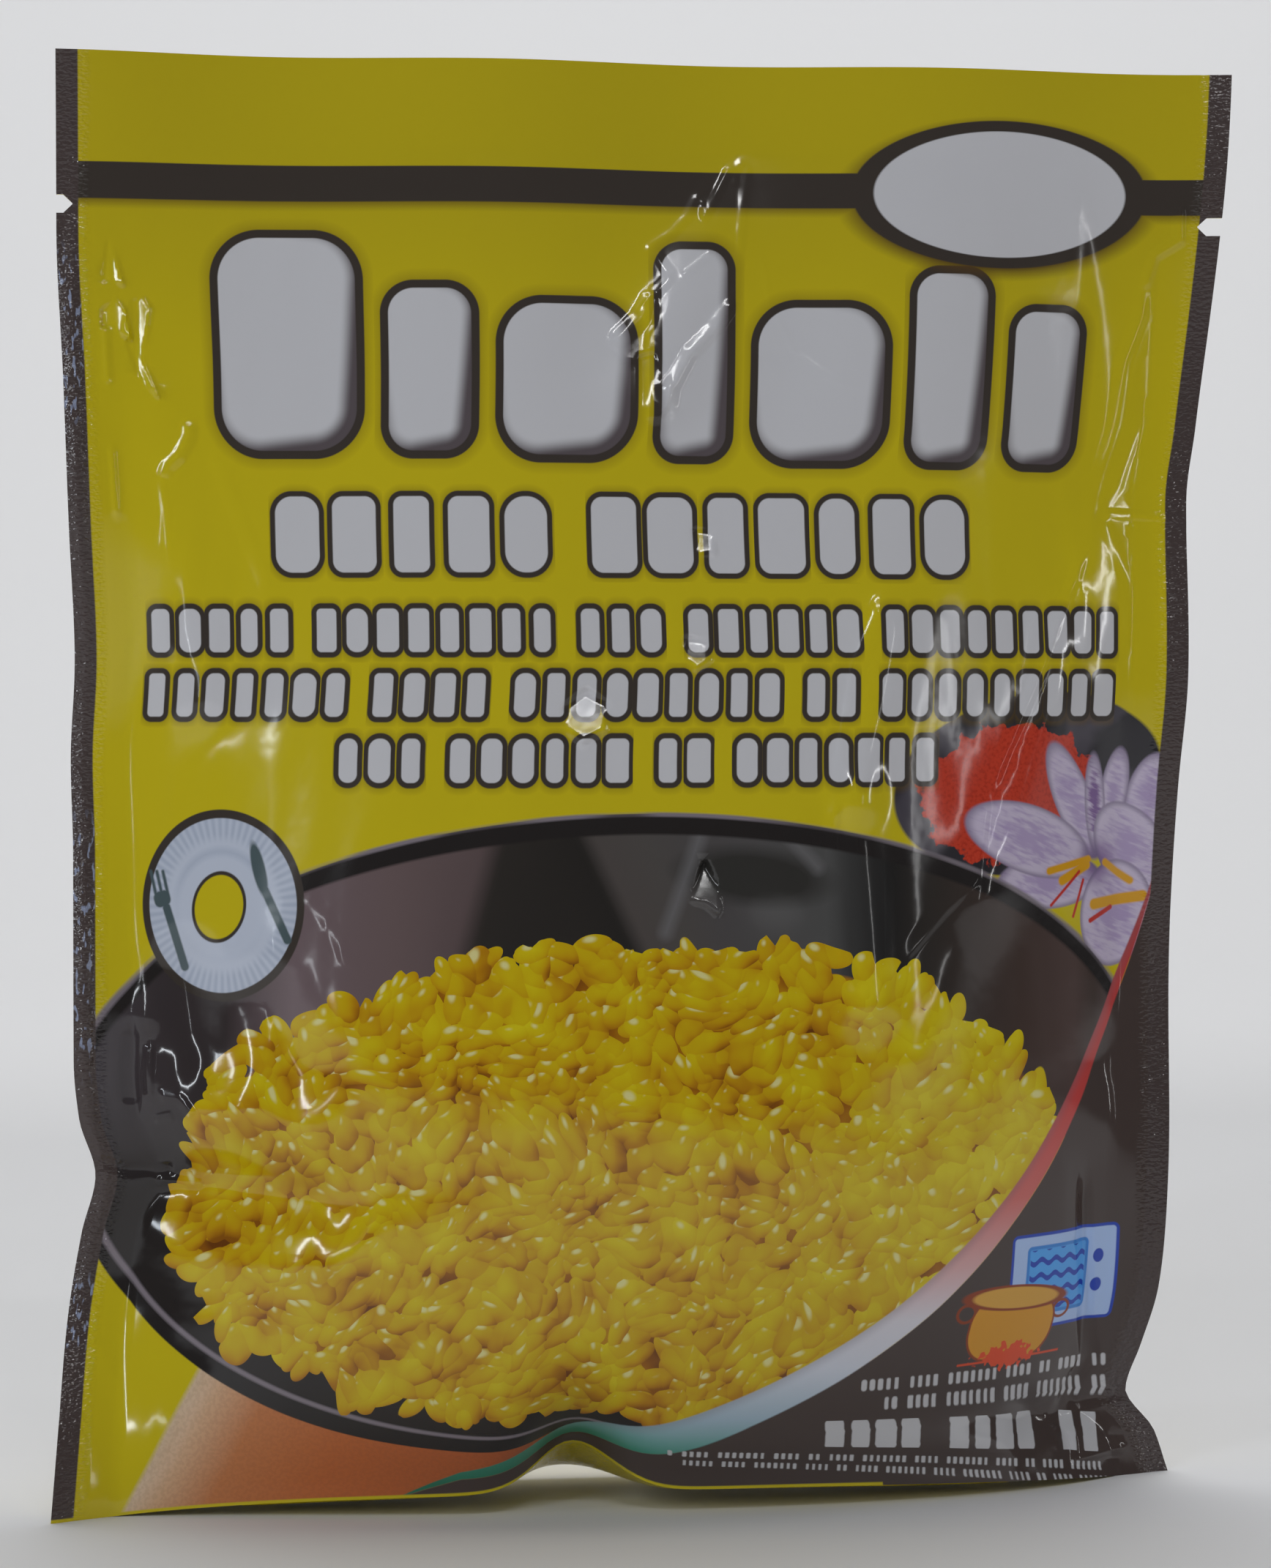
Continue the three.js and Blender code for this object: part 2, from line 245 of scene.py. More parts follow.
def line_distance(x, z, start, end):
    """Distance from a line between two points, and how far along it the nearest place is."""
    (x0, z0), (x1, z1) = start, end
    dx, dz = x1 - x0, z1 - z0
    along = ((x - x0) * dx + (z - z0) * dz) / (dx * dx + dz * dz)
    near = np.clip(along, 0, 1)
    return np.hypot(x - x0 - near * dx, z - z0 - near * dz), near


def across_to_x(across, z):
    left = -WIDTH / 2 + follow(LEFT_INSET, z)
    right = WIDTH / 2 - follow(RIGHT_INSET, z)
    flat = across * INNER
    middle = (left + right) / 2
    reach = (right - left) / 2 - SIDE_SEAL
    wrap = np.maximum(WRAP * follow(BELLY, z) / WIDEST_BELLY, 1e-6)
    turned = middle + reach * np.sin(wrap * across) / np.sin(wrap)
    outside_left = left + flat + WIDTH / 2
    outside_right = right + flat - WIDTH / 2
    return np.where(across < -1, outside_left, np.where(across > 1, outside_right, turned))


def seal_plane(across, z):
    outer = np.minimum(np.abs(across), 1.1) ** 5
    wave = SEAL_WAVE * outer * np.sin(2 * np.pi * z / SEAL_WAVE_LENGTH + across)
    ear = np.where(across < 0, LEFT_EAR, RIGHT_EAR) * outer * (1 - ease(z / EAR_HEIGHT))
    top = TOP_WAVE * ease(z / HEIGHT) ** 3 * np.sin(2.4 * np.pi * across + 0.6)
    return wave + ear + top


def lens(across):
    return np.maximum(0, 1 - np.abs(across) ** BELLY_ROUNDNESS)


CREASE_FADE, END_LIFT = 0.12, 0.3  # shares of the length and of the lift
CREST_ROUNDING = 0.28


def crease_lift(creases, s, h):
    """Outward lift of sharp creases, which fade out towards their two ends."""
    lift = np.zeros_like(s)
    for route, right, left in creases:
        lengths = [math.dist(a[:2], b[:2]) for a, b in zip(route, route[1:])]
        total, run = sum(lengths), 0.0
        nearest = np.full_like(s, 1e9)
        place, width, height = np.zeros_like(s), np.ones_like(s), np.zeros_like(s)
        for start, end, length in zip(route, route[1:], lengths):
            away, near = line_distance(s, h, start[:2], end[:2])
            closer = away < nearest
            aside = (s - start[0]) * (end[1] - start[1]) - (h - start[1]) * (end[0] - start[0])
            nearest = np.where(closer, away, nearest)
            place = np.where(closer, (run + near * length) / total, place)
            width = np.where(closer, np.where(aside > 0, right, left), width)
            height = np.where(closer, start[2] + near * (end[2] - start[2]), height)
            run += length
        ends = ease(place / CREASE_FADE + END_LIFT) * ease((1 - place) / CREASE_FADE + END_LIFT)
        lift += height * ends * np.maximum(0, 1 - np.hypot(nearest / width, CREST_ROUNDING))
    return lift


def flat_lift(flats, s, h):
    """Outward lift of flats, each tilted within its outline and let down around it."""
    lift = np.zeros_like(s)
    for outline, (across_slope, up_slope), rim in flats:
        nearest = np.full_like(s, 1e9)
        within = np.zeros(s.shape, dtype=bool)
        for start, end in zip(outline, outline[1:] + outline[:1]):
            nearest = np.minimum(nearest, line_distance(s, h, start, end)[0])
            crossed = (start[1] > h) != (end[1] > h)
            rise = end[1] - start[1] or 1e-9
            within ^= crossed & (s < start[0] + (h - start[1]) * (end[0] - start[0]) / rise)
        middle_s, middle_h = np.mean(outline, axis=0)
        tilted = (s - middle_s) * across_slope + (h - middle_h) * up_slope
        lift += tilted * np.where(within, 1.0, 1 - ease(nearest / rim))
    return lift


def bump_lift(bumps, s, h):
    lift = np.zeros_like(s)
    for (s0, h0), height, radius in bumps:
        lift += height * np.exp(-((s - s0) ** 2 + (h - h0) ** 2) / radius**2)
    return lift


NOISE_CELLS = 64


def smooth_noise(s, h, step_s, step_h, seed):
    """Even hills and hollows between -1 and 1, each about a step long."""
    draw = np.random.default_rng(seed).uniform(-1, 1, (NOISE_CELLS, NOISE_CELLS))
    u, v = s / step_s + 31.4, h / step_h + 7.3
    column, row = np.floor(u).astype(int), np.floor(v).astype(int)
    a, b = ease(u - column), ease(v - row)

    def at(i, j):
        return draw[(row + j) % NOISE_CELLS, (column + i) % NOISE_CELLS]

    low = at(0, 0) * (1 - a) + at(1, 0) * a
    high = at(0, 1) * (1 - a) + at(1, 1) * a
    return low * (1 - b) + high * b


FOLD_DEPTH, DENT_DEPTH, PUCKER_DEPTH, STREAK_DEPTH = 0.40, 0.28, 0.24, 0.22


def crumple(s, h, seed):
    """Long soft folds down the panel, and short puckers beside the side welds."""
    outward = np.abs(s) / INNER
    lean = s + 0.16 * (h - 120) * np.sign(s) * ease(np.abs(s) / 40)
    folds = np.abs(smooth_noise(lean, h, 17, 62, seed))
    folds += 0.45 * np.abs(smooth_noise(lean + 5, h, 8, 31, seed + 1))
    dents = smooth_noise(s, h, 24, 21, seed + 2)
    beside = ease((outward - 0.72) / 0.28)
    puckers = smooth_noise(0.3 * s, h, 9, 8.5, seed + 3)
    puckers += 0.5 * smooth_noise(0.5 * s, h, 7, 4.6, seed + 4)
    # The film is pulled flatter under the top weld.
    pulled = 1 - 0.88 * ease((h - 105) / 40) * ease((1.15 - outward) / 0.4)
    streaks = np.abs(smooth_noise(lean + 3, h, 4.6, 26, seed + 6))
    streaks *= ease((outward - 0.45) / 0.35)
    folded = -FOLD_DEPTH * folds + DENT_DEPTH * dents + PUCKER_DEPTH * beside * puckers
    return pulled * folded - STREAK_DEPTH * streaks


def panel_points(s, h, side, creased=True):
    """Places of film points on one panel. s and h are film millimetres, side -1 is the front."""
    across = s / INNER
    depth = SEAL_THICKNESS / 2 + follow(BELLY, h) * lens(across)
    x = across_to_x(across, h)
    z = h.copy()
    room = np.minimum(1, depth / FOLD_ROOM_DEPTH) * ease((BODY_TOP - h) / FOLD_ROOM_HEIGHT)
    for start, end, lift, spread in FRONT_FOLDS if side < 0 else BACK_FOLDS:
        away, _ = line_distance(x, z, start, end)
        depth = depth + room * lift * np.exp(-((away / spread) ** 2))
    z = z + FOLD_RISE * lens(across) * (1 - ease(h / FOLD_REACH)) ** 3
    if side < 0:
        pinched = np.exp(-(((x - PINCH_X) / PINCH_SPREAD) ** 2))
        depth = depth - PINCH_PUSH * pinched * (1 - ease(h / (2.2 * PINCH_HEIGHT)))
        z = z + PINCH_RISE * pinched * np.exp(-h / PINCH_HEIGHT)
    depth = np.maximum(depth, SEAL_THICKNESS / 2)
    above_fold = ease(h / PLAIN_FOOT)
    # A weld is one sheet: there both plies follow the front's creases.
    free = ease((1.06 - np.abs(across)) / 0.1) * ease((BODY_TOP + 1 - h) / WELD_BLEND)
    front_lift = bump_lift(FRONT_BUMPS, s, h)
    if creased:
        front_lift = crease_lift(front_creases, s, h) + front_lift + flat_lift(FRONT_FLATS, s, h)
    own_lift = front_lift if side < 0 else crease_lift(back_creases, s, h)
    own_lift = own_lift + crumple(s, h, 40 if side < 0 else 80) * ease((1 - np.abs(across)) / 0.12)
    depth = np.maximum(depth + own_lift * free * above_fold, SEAL_THICKNESS / 2)
    plane = seal_plane(across, z) - front_lift * (1 - free) * above_fold
    return np.stack([x, side * depth + plane, z], -1)


ROUTE_STEP = 8.0  # a crease has its lift worked out at least this often
GAUGE = 0.8  # how far around a place the panel's own slope is taken
LAMP_SHARE = 0.9  # of a lamp's face, within which it is mirrored
SLOPE_LOW, SLOPE_HIGH = 0.06, 0.75  # of a flank
SLOPE_TO_LIFT = 1 / 0.92  # lift for a flank one wide, with its crest rounded off


def unit(vectors):
    return vectors / np.linalg.norm(vectors, axis=-1, keepdims=True)


def along_route(route):
    """The route's own places, with even places between those that lie far apart."""
    places = [route[0]]
    for start, end in zip(route, route[1:]):
        steps = math.ceil(math.dist(start, end) / ROUTE_STEP)
        way = np.subtract(end, start)
        places += [tuple(start + way * k / steps) for k in range(1, steps + 1)]
    return places


def lamp_points(azimuth, elevation, away, size, columns, rows):
    """Points on a lamp's face, mm. A lone column of them runs beside one edge."""
    way = lamp_way(azimuth, elevation)
    right = unit(np.cross((0, 0, 1), way))
    up = np.cross(way, right)
    aside = np.linspace(-LAMP_SHARE, LAMP_SHARE, columns)[:, None, None] * right * size[0] / 2
    aloft = np.linspace(-LAMP_SHARE, LAMP_SHARE, rows)[:, None] * up * size[1] / 2
    return (LAMP_AIM + way * away + aside + aloft).reshape(-1, 3) / MM


def mirror_slope(place, heading, lamp):
    """How steeply the film has to rise to the left of a heading, to mirror a lamp at a place."""
    s = place[0] + GAUGE * np.array([-1, 1, 0, 0])
    h = place[1] + GAUGE * np.array([0, 0, -1, 1])
    around = panel_points(s, h, -1, creased=False) + film_shift
    here = around.mean(axis=0)
    to_right, to_top = unit(around[1] - around[0]), unit(around[3] - around[2])
    halfway = unit(lamp - here) + unit(camera_place() - here)
    facing = halfway @ unit(np.cross(to_right, to_top))
    right_slope, up_slope = -(halfway @ to_right) / facing, -(halfway @ to_top) / facing
    along = right_slope * heading[0] + up_slope * heading[1]
    across = up_slope * heading[0] - right_slope * heading[1]
    return across[np.argmin(np.abs(along) + 0.1 * np.abs(across))]


def lifted(route, rise, first, second):
    """A crease as its route with a lift at each place, and its widths to the right and left."""
    if rise not in MIRRORED:
        return [(*place, rise) for place in route], first, second
    lamp = lamp_points(*MIRRORED[rise])
    places = along_route(route)
    slopes = []
    for before, place, after in zip(places[:1] + places, places, places[1:] + places[-1:]):
        slopes.append(mirror_slope(place, unit(np.subtract(after, before)), lamp))
    on_right = sum(slopes) > 0
    # Where both flanks are as wide, either may mirror the lamp.
    steep = np.abs(slopes) if first == second else np.multiply(slopes, 1 if on_right else -1)
    lifts = np.clip(steep, SLOPE_LOW, SLOPE_HIGH) * SLOPE_TO_LIFT * first
    route = [(*place, round(lift, 2)) for place, lift in zip(places, lifts)]
    return (route, first, second) if on_right else (route, second, first)


def base_points(s, share):
    """Places of the base film, share 0 being the front fold and 1 the back fold."""
    across = s / INNER
    front = panel_points(s, np.zeros_like(s), -1)
    back = panel_points(s, np.zeros_like(s), 1)
    out = np.abs(2 * share - 1)
    rise = ease((out - FLAT_BASE_SHARE) / (1 - FLAT_BASE_SHARE))
    tuck = TUCK_RISE * np.exp(-(((np.abs(across) - TUCK_PLACE) / TUCK_SPREAD) ** 2))
    lifted = tuck * (1 - out**2) * (1 - rise)
    places = front + (back - front) * share[:, None]
    places[:, 0] = across_to_x(across, lifted)
    # It spans from fold to fold, and sags a little between them.
    level = front[:, 2] + (back[:, 2] - front[:, 2]) * ease(share)
    sag = BASE_SAG * np.minimum(level, 2.5) * np.sin(np.pi * share)
    places[:, 2] = np.maximum(level - sag, lifted)
    # The folded base stays between the two panels.
    risen = places[:, 2].copy()
    wall_front = panel_points(s, risen, -1)[:, 1]
    wall_back = panel_points(s, risen, 1)[:, 1]
    room = np.minimum(2.5, (wall_back - wall_front) / 3) * ease(risen / 1.5)
    kept = np.clip(places[:, 1], wall_front + room, wall_back - room)
    inner = (share > 0.5 / BASE_LINES) & (share < 1 - 0.5 / BASE_LINES)
    places[:, 1] = np.where(inner, kept, places[:, 1])
    welded = np.abs(across) >= 1
    nearer = np.where((share < 0.5)[:, None], front, back)
    return np.where(welded[:, None], nearer, places)


# ---------------------------------------------------------------- the film's mesh
def grid(name, columns, rows):
    """A flat square grid of one unit, to be given its place by its film coordinates."""
    bpy.ops.object.select_all(action="DESELECT")
    bpy.ops.mesh.primitive_grid_add(
        x_subdivisions=columns, y_subdivisions=rows, size=1, calc_uvs=False
    )
    ply = bpy.context.object
    ply.name = name
    return ply


def read(items, field, width=1, kind=float):
    """One field of a mesh's vertices, corners or faces as an array."""
    values = np.empty(len(items) * width, dtype=kind)
    items.foreach_get(field, values)
    return values.reshape(-1, width) if width > 1 else values


def vertex_places(mesh):
    return read(mesh.vertices, "co", 3)


def put_vertices(mesh, places):
    mesh.vertices.foreach_set("co", np.ascontiguousarray(places).ravel())
    mesh.update()


def write_map(mesh, name, values):
    """Writes one value pair for each vertex into a UV map."""
    corners = read(mesh.loops, "vertex_index", kind=np.int32)
    layer = mesh.uv_layers.get(name) or mesh.uv_layers.new(name=name)
    layer.data.foreach_set("uv", values[corners].astype(np.float32).ravel())


def lay_out(ply, print_place, along, up, corner, size):
    """Gives a ply its place in the print, and a part of the baked sheet to itself."""
    write_map(ply.data, "film", print_place)
    baked = np.stack([corner[0] + size[0] * along, corner[1] + size[1] * up], -1)
    write_map(ply.data, "OFBake", baked)


def select_only(piece):
    bpy.ops.object.select_all(action="DESELECT")
    piece.select_set(True)
    bpy.context.view_layer.objects.active = piece


def edit_faces(mesh, chosen):
    """Goes into edit mode with just these faces selected."""
    bpy.ops.object.mode_set(mode="EDIT")
    bpy.ops.mesh.select_mode(type="FACE")
    bpy.ops.mesh.select_all(action="DESELECT")
    bpy.ops.object.mode_set(mode="OBJECT")
    mesh.polygons.foreach_set("select", chosen)
    bpy.ops.object.mode_set(mode="EDIT")


def divide_beside(ply, creases, flats):
    """Divides the faces of a flat grid that lie beside sharp creases and flats."""
    mesh = ply.data
    middle = read(mesh.polygons, "center", 3)
    s, h = middle[:, 0] * WIDTH, (middle[:, 1] + 0.5) * HEIGHT
    lines = [([place[:2] for place in route], max(right, left)) for route, right, left in creases]
    lines += [(outline + outline[:1], rim) for outline, _, rim in flats]
    beside = np.zeros(len(s), dtype=bool)
    for route, reach in lines:
        for start, end in zip(route, route[1:]):
            beside |= line_distance(s, h, start, end)[0] < reach + DIVIDED_MARGIN
    # The outermost faces stay whole, so that the plies still meet.
    beside &= np.abs(s) < WIDTH / 2 - MESH_STEP
    beside &= np.abs(h - HEIGHT / 2) < HEIGHT / 2 - MESH_STEP
    edit_faces(mesh, beside)
    bpy.ops.mesh.subdivide(number_cuts=CREASE_CUTS)
    bpy.ops.object.mode_set(mode="OBJECT")


BACK_OFFSET = 200.0  # the back panel's print lies this far to the right of the front's


def film_ply(name, columns, rows, side):
    ply = grid(name, columns, rows)
    if side < 0:
        divide_beside(ply, front_creases, FRONT_FLATS)
    unit = vertex_places(ply.data) + 0.5
    s = (unit[:, 0] - 0.5) * WIDTH
    h = unit[:, 1] * HEIGHT
    put_vertices(ply.data, panel_points(s, h, side))
    print_place = np.stack([s if side < 0 else BACK_OFFSET - s, h], -1)
    left, wide = (0.01, 0.65) if side < 0 else (0.675, 0.315)
    lay_out(ply, print_place, unit[:, 0], unit[:, 1], (left, 0.14), (wide, 0.84))
    return ply


def base_ply(columns):
    ply = grid("base", columns, BASE_LINES)
    unit = vertex_places(ply.data) + 0.5
    s = (unit[:, 0] - 0.5) * WIDTH
    put_vertices(ply.data, base_points(s, unit[:, 1]))
    print_place = np.stack([s, -BASE_PRINT_DEPTH * unit[:, 1]], -1)
    lay_out(ply, print_place, unit[:, 0], unit[:, 1], (0.01, 0.01), (0.48, 0.06))
    return ply


def edge_ply(name, count, side_walls):
    """Thin strip that closes a welded edge: a side edge, or the top edge."""
    ply = grid(name, 1, count)
    unit = vertex_places(ply.data) + 0.5
    if side_walls:
        s = np.full(len(unit), side_walls * WIDTH / 2)
        h = unit[:, 1] * HEIGHT
    else:
        s = (unit[:, 1] - 0.5) * WIDTH
        h = np.full(len(unit), HEIGHT)
    front, back = panel_points(s, h, -1), panel_points(s, h, 1)
    put_vertices(ply.data, np.where((unit[:, 0] < 0.5)[:, None], front, back))
    strip = {-1: 0.085, 1: 0.1, 0: 0.115}[side_walls]
    lay_out(ply, np.stack([s, h], -1), unit[:, 1], unit[:, 0], (0.01, strip), (0.9, 0.01))
    return ply


def notch_cutter(side, height, depth):
    """A slot with a pointed end, run in from outside the film's edge."""
    edge = float(across_to_x(np.array([side * WIDTH / 2 / INNER]), np.array([height]))[0])
    half = NOTCH_MOUTH / 2
    bpy.ops.object.select_all(action="DESELECT")
    bpy.ops.mesh.primitive_cube_add(size=1)
    cutter = bpy.context.object
    places = vertex_places(cutter.data)
    places[:, 1] *= CUTTER_LENGTH
    places[:, 2] *= NOTCH_MOUTH
    inner = places[:, 0] * side < 0
    places[:, 0] = np.where(inner, edge - side * (depth - half), edge + side * CUTTER_OUTSIDE)
    put_vertices(cutter.data, places)
    # The inner face is drawn out to the notch's point.
    edit_faces(cutter.data, read(cutter.data.polygons, "normal", 3)[:, 0] * side < -0.9)
    bpy.ops.mesh.extrude_region_move(TRANSFORM_OT_translate={"value": (-side * half, 0, 0)})
    bpy.ops.transform.resize(value=(1, 1, 0.05))
    bpy.ops.object.mode_set(mode="OBJECT")
    places = vertex_places(cutter.data)
    places[:, 2] += height
    put_vertices(cutter.data, places + film_shift)
    return cutter


def print_zones(pouch):
    """Gives each face the film of the zone that its middle lies in."""
    mesh = pouch.data
    film_places = read(mesh.uv_layers["film"].data, "uv", 2, np.float32)
    first = read(mesh.polygons, "loop_start", kind=np.int32)
    count = read(mesh.polygons, "loop_total", kind=np.int32)
    middle = np.add.reduceat(film_places, first) / count[:, None]
    mesh.materials.clear()
    mesh.materials.append(film_material("back_film", back_print))
    chosen = np.zeros(len(first), dtype=np.int32)
    for k, (name, zone) in enumerate(FRONT_ZONES):
        mesh.materials.append(film_material(name, front_print, zone))
        held = (middle > zone[:2]).all(axis=1) & (middle <= zone[2:]).all(axis=1)
        chosen[held & (chosen == 0) & (middle[:, 1] > -0.01)] = k + 1
    mesh.polygons.foreach_set("material_index", chosen)


def film_pouch():
    """The whole pouch of film: two plies, the folded base and the edges, made one shell."""
    columns = round(WIDTH / MESH_STEP)
    rows = round(HEIGHT / MESH_STEP)
    plies = [
        film_ply("front_ply", columns, rows, -1),
        film_ply("back_ply", columns, rows, 1),
        base_ply(columns),
        edge_ply("left_edge", rows, -1),
        edge_ply("right_edge", rows, 1),
        edge_ply("top_edge", columns, 0),
    ]
    select_only(plies[0])
    for ply in plies:
        ply.select_set(True)
    bpy.ops.object.join()
    pouch = bpy.context.object
    pouch.name = "film_pouch"
    bpy.ops.object.mode_set(mode="EDIT")
    bpy.ops.mesh.select_all(action="SELECT")
    bpy.ops.mesh.remove_doubles(threshold=JOIN_GAP)
    bpy.ops.mesh.dissolve_degenerate(threshold=JOIN_GAP / 10)
    bpy.ops.mesh.normals_make_consistent(inside=False)
    bpy.ops.object.mode_set(mode="OBJECT")
    return pouch


def outline_shift():
    """Moves the film's own frame to the middle of the solid's outline."""
    h = np.linspace(0, HEIGHT, 801)
    left = across_to_x(np.full_like(h, -WIDTH / 2 / INNER), h).min()
    right = across_to_x(np.full_like(h, WIDTH / 2 / INNER), h).max()
    low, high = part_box("pouch")
    middle = (low[0] + high[0]) / 2 / MM
    return np.array([middle - (left + right) / 2, 0.0, low[2] / MM])


def cut(pouch, cutter):
    select_only(pouch)
    slot = pouch.modifiers.new("notch", "BOOLEAN")
    slot.operation = "DIFFERENCE"
    slot.solver = "EXACT"
    slot.object = cutter
    bpy.ops.object.modifier_apply(modifier=slot.name)
    bpy.data.objects.remove(cutter)


# ---------------------------------------------------------------- printing
INK_EDGE = 0.16  # how soft the edge of an ink is


class Press:
    """Draws plain shapes in film millimetres with the nodes of one material."""

    def __init__(self, material):
        self.tree = material.node_tree
        self.shader = self.tree.nodes["Principled BSDF"]

    def node(self, kind, **settings):
        made = self.tree.nodes.new(kind)
        for name, value in settings.items():
            setattr(made, name, value)
        return made

    def fill(self, socket, value):
        if isinstance(value, bpy.types.NodeSocket):
            self.tree.links.new(value, socket)
        else:
            socket.default_value = value

    def result(self, kind, values, **settings):
        """The outputs of a new node, with its first inputs filled."""
        made = self.node(kind, **settings)
        for socket, value in zip(made.inputs, values):
            self.fill(socket, value)
        return made.outputs

    def maths(self, operation, *values, clamp=False):
        return self.result("ShaderNodeMath", values, operation=operation, use_clamp=clamp)[0]

    plus = partialmethod(maths, "ADD")
    minus = partialmethod(maths, "SUBTRACT")
    times = partialmethod(maths, "MULTIPLY")
    scaled = partialmethod(maths, "MULTIPLY_ADD")
    size_of = partialmethod(maths, "ABSOLUTE")

    def vector(self, operation, *values):
        plain = operation in ("LENGTH", "DISTANCE", "DOT_PRODUCT")
        found = self.result("ShaderNodeVectorMath", values, operation=operation)
        return found["Value" if plain else "Vector"]

    def split(self, vector):
        return self.result("ShaderNodeSeparateXYZ", [vector])

    def parts(self, colour):
        return self.result("ShaderNodeSeparateColor", [colour])

    def draw(self, point):
        """Three random numbers of a point's own, from 0 to 1."""
        drawn = self.result("ShaderNodeTexWhiteNoise", [point], noise_dimensions="2D")
        return self.parts(drawn["Color"])

    def pair(self, x, y):
        return self.result("ShaderNodeCombineXYZ", [x, y])[0]

    def placed(self, point, centre, turn=0.0, size=(1.0, 1.0), back=False):
        """The point as seen from a shape's own centre, turned and measured in its own size."""
        settings = [point, (*centre, 0), (0, 0, math.radians(turn)), (*size, 1)]
        way = "POINT" if back else "TEXTURE"
        return self.result("ShaderNodeMapping", settings, vector_type=way)[0]

    def ellipse(self, point, centre, size, turn=0.0):
        """Distance out from an ellipse's edge, below 0 inside it. size is its half sizes."""
        reach = self.vector("LENGTH", self.placed(point, centre, turn, size))
        return self.scaled(reach, min(size), -min(size))

    def bar(self, point, centre, size, corner, turn=0.0):
        """Distance out from a bar with round corners. size is its whole width and height."""
        own = self.vector("ABSOLUTE", self.placed(point, centre, turn))
        core = (size[0] / 2 - corner, size[1] / 2 - corner, 0.0)
        beyond = self.vector("MAXIMUM", self.vector("SUBTRACT", own, core), (0.0, 0.0, 0.0))
        return self.minus(self.vector("LENGTH", beyond), corner)

    def beyond(self, aside, aloft, half, tall, corner):
        """How far a place lies past a block's core to the side and upwards."""
        return [
            self.minus(self.size_of(offset), self.minus(reach, corner))
            for offset, reach in ((aside, half), (aloft, tall))
        ]

    def block(self, aside, aloft, half, tall, corner):
        """Distance out from a block with round corners, from the offsets to its middle."""
        beyond = self.pair(*self.beyond(aside, aloft, half, tall, corner))
        outer = self.vector("LENGTH", self.vector("MAXIMUM", beyond, (0.0, 0.0, 0.0)))
        return self.minus(outer, corner)

    def stroke(self, point, start, end, width):
        """Distance out from a round-ended stroke."""
        middle = ((start[0] + end[0]) / 2, (start[1] + end[1]) / 2)
        turn = math.degrees(math.atan2(end[1] - start[1], end[0] - start[0]))
        return self.bar(point, middle, (math.dist(start, end) + width, width), width / 2, turn)

    def side_of(self, point, place, turn):
        """Distance past a straight line through a place, which runs at an angle."""
        across = (math.sin(math.radians(turn)), -math.cos(math.radians(turn)))
        offset = -(place[0] * across[0] + place[1] * across[1])
        return self.plus(self.vector("DOT_PRODUCT", point, (*across, 0)), offset)

    def folded(self, operation, first, *others):
        for other in others:
            first = self.maths(operation, first, other)
        return first

    nearest = partialmethod(folded, "MINIMUM")
    both = partialmethod(folded, "MAXIMUM")

    def inside(self, distance, soft=INK_EDGE, grow=0.0):
        """1 inside a shape and 0 outside it, with an edge soft millimetres wide."""
        return self.scaled(distance, -1 / soft, 0.5 + grow / soft, clamp=True)

    def lay(self, under, over, mask):
        """One ink over another, where the mask lets it."""
        made = self.node("ShaderNodeMix", data_type="RGBA")
        self.fill(made.inputs[0], mask)
        self.fill(made.inputs[6], under)
        self.fill(made.inputs[7], over)
        return made.outputs[2]

    def stamp(self, under, over, distance, soft=INK_EDGE, grow=0.0):
        """A shape filled with an ink, with an edge soft millimetres wide."""
        return self.lay(under, over, self.inside(distance, soft, grow))

    def ring(self, under, ink_in, ink_out, distance, width, soft=INK_EDGE):
        """A filled shape with an outline of some width around it."""
        outlined = self.stamp(under, ink_out, distance, soft, width)
        return self.stamp(outlined, ink_in, distance, soft)

    def noise(self, point, size, detail=1.0):
        made = self.node("ShaderNodeTexNoise", noise_dimensions="2D")
        self.fill(made.inputs["Vector"], point)
        made.inputs["Scale"].default_value = 1 / size
        made.inputs["Detail"].default_value = detail
        return made.outputs

    def between(self, value, low, high, to_low=0.0, to_high=1.0):
        """to_low up to low, to_high from high, and eased between them."""
        settings = [value, low, high, to_low, to_high]
        return self.result("ShaderNodeMapRange", settings, interpolation_type="SMOOTHSTEP")[0]

    def ramp(self, value, stops, steps=False):
        """Inks along a value, as (place, ink) stops."""
        low, high = stops[0][0], stops[-1][0]
        share = self.scaled(value, 1 / (high - low), -low / (high - low))
        made = self.node("ShaderNodeValToRGB")
        self.fill(made.inputs[0], share)
        made.color_ramp.interpolation = "CONSTANT" if steps else "LINEAR"
        made.color_ramp.elements.remove(made.color_ramp.elements[1])
        for k, (place, colour) in enumerate(stops):
            at = (place - low) / (high - low)
            stop = made.color_ramp.elements.new(at) if k else made.color_ramp.elements[0]
            stop.position, stop.color = at, colour
        return made.outputs

    def tints(self, value, stops):
        """Inks along a value, as (place, red, green, blue) stops."""
        return self.ramp(value, [(stop[0], ink(*stop[1:])) for stop in stops])[0]

    def packed(self, value, stops, spans, steps=True):
        """Numbers along a value, up to four at each stop, held as shares of their spans."""
        inks = []
        for place, numbers in stops:
            shares = [(number - low) / span for number, (low, span) in zip(numbers, spans)]
            inks.append((place, (*shares, *(1,) * (4 - len(shares)))))
        return self.ramp(value, inks, steps)

    def unpacked(self, found, spans):
        sources = list(self.parts(found[0]))[:3] + list(found[1:])
        return [
            self.scaled(source, span, low) if low else self.times(source, span)
            for source, (low, span) in zip(sources, spans)
        ]


def ink(red, green, blue):
    """An ink's colour from its usual 0 to 255 values."""
    linear = []
    for value in (red, green, blue):
        share = value / 255
        linear.append(share / 12.92 if share <= 0.04045 else ((share + 0.055) / 1.055) ** 2.4)
    return (*linear, 1.0)


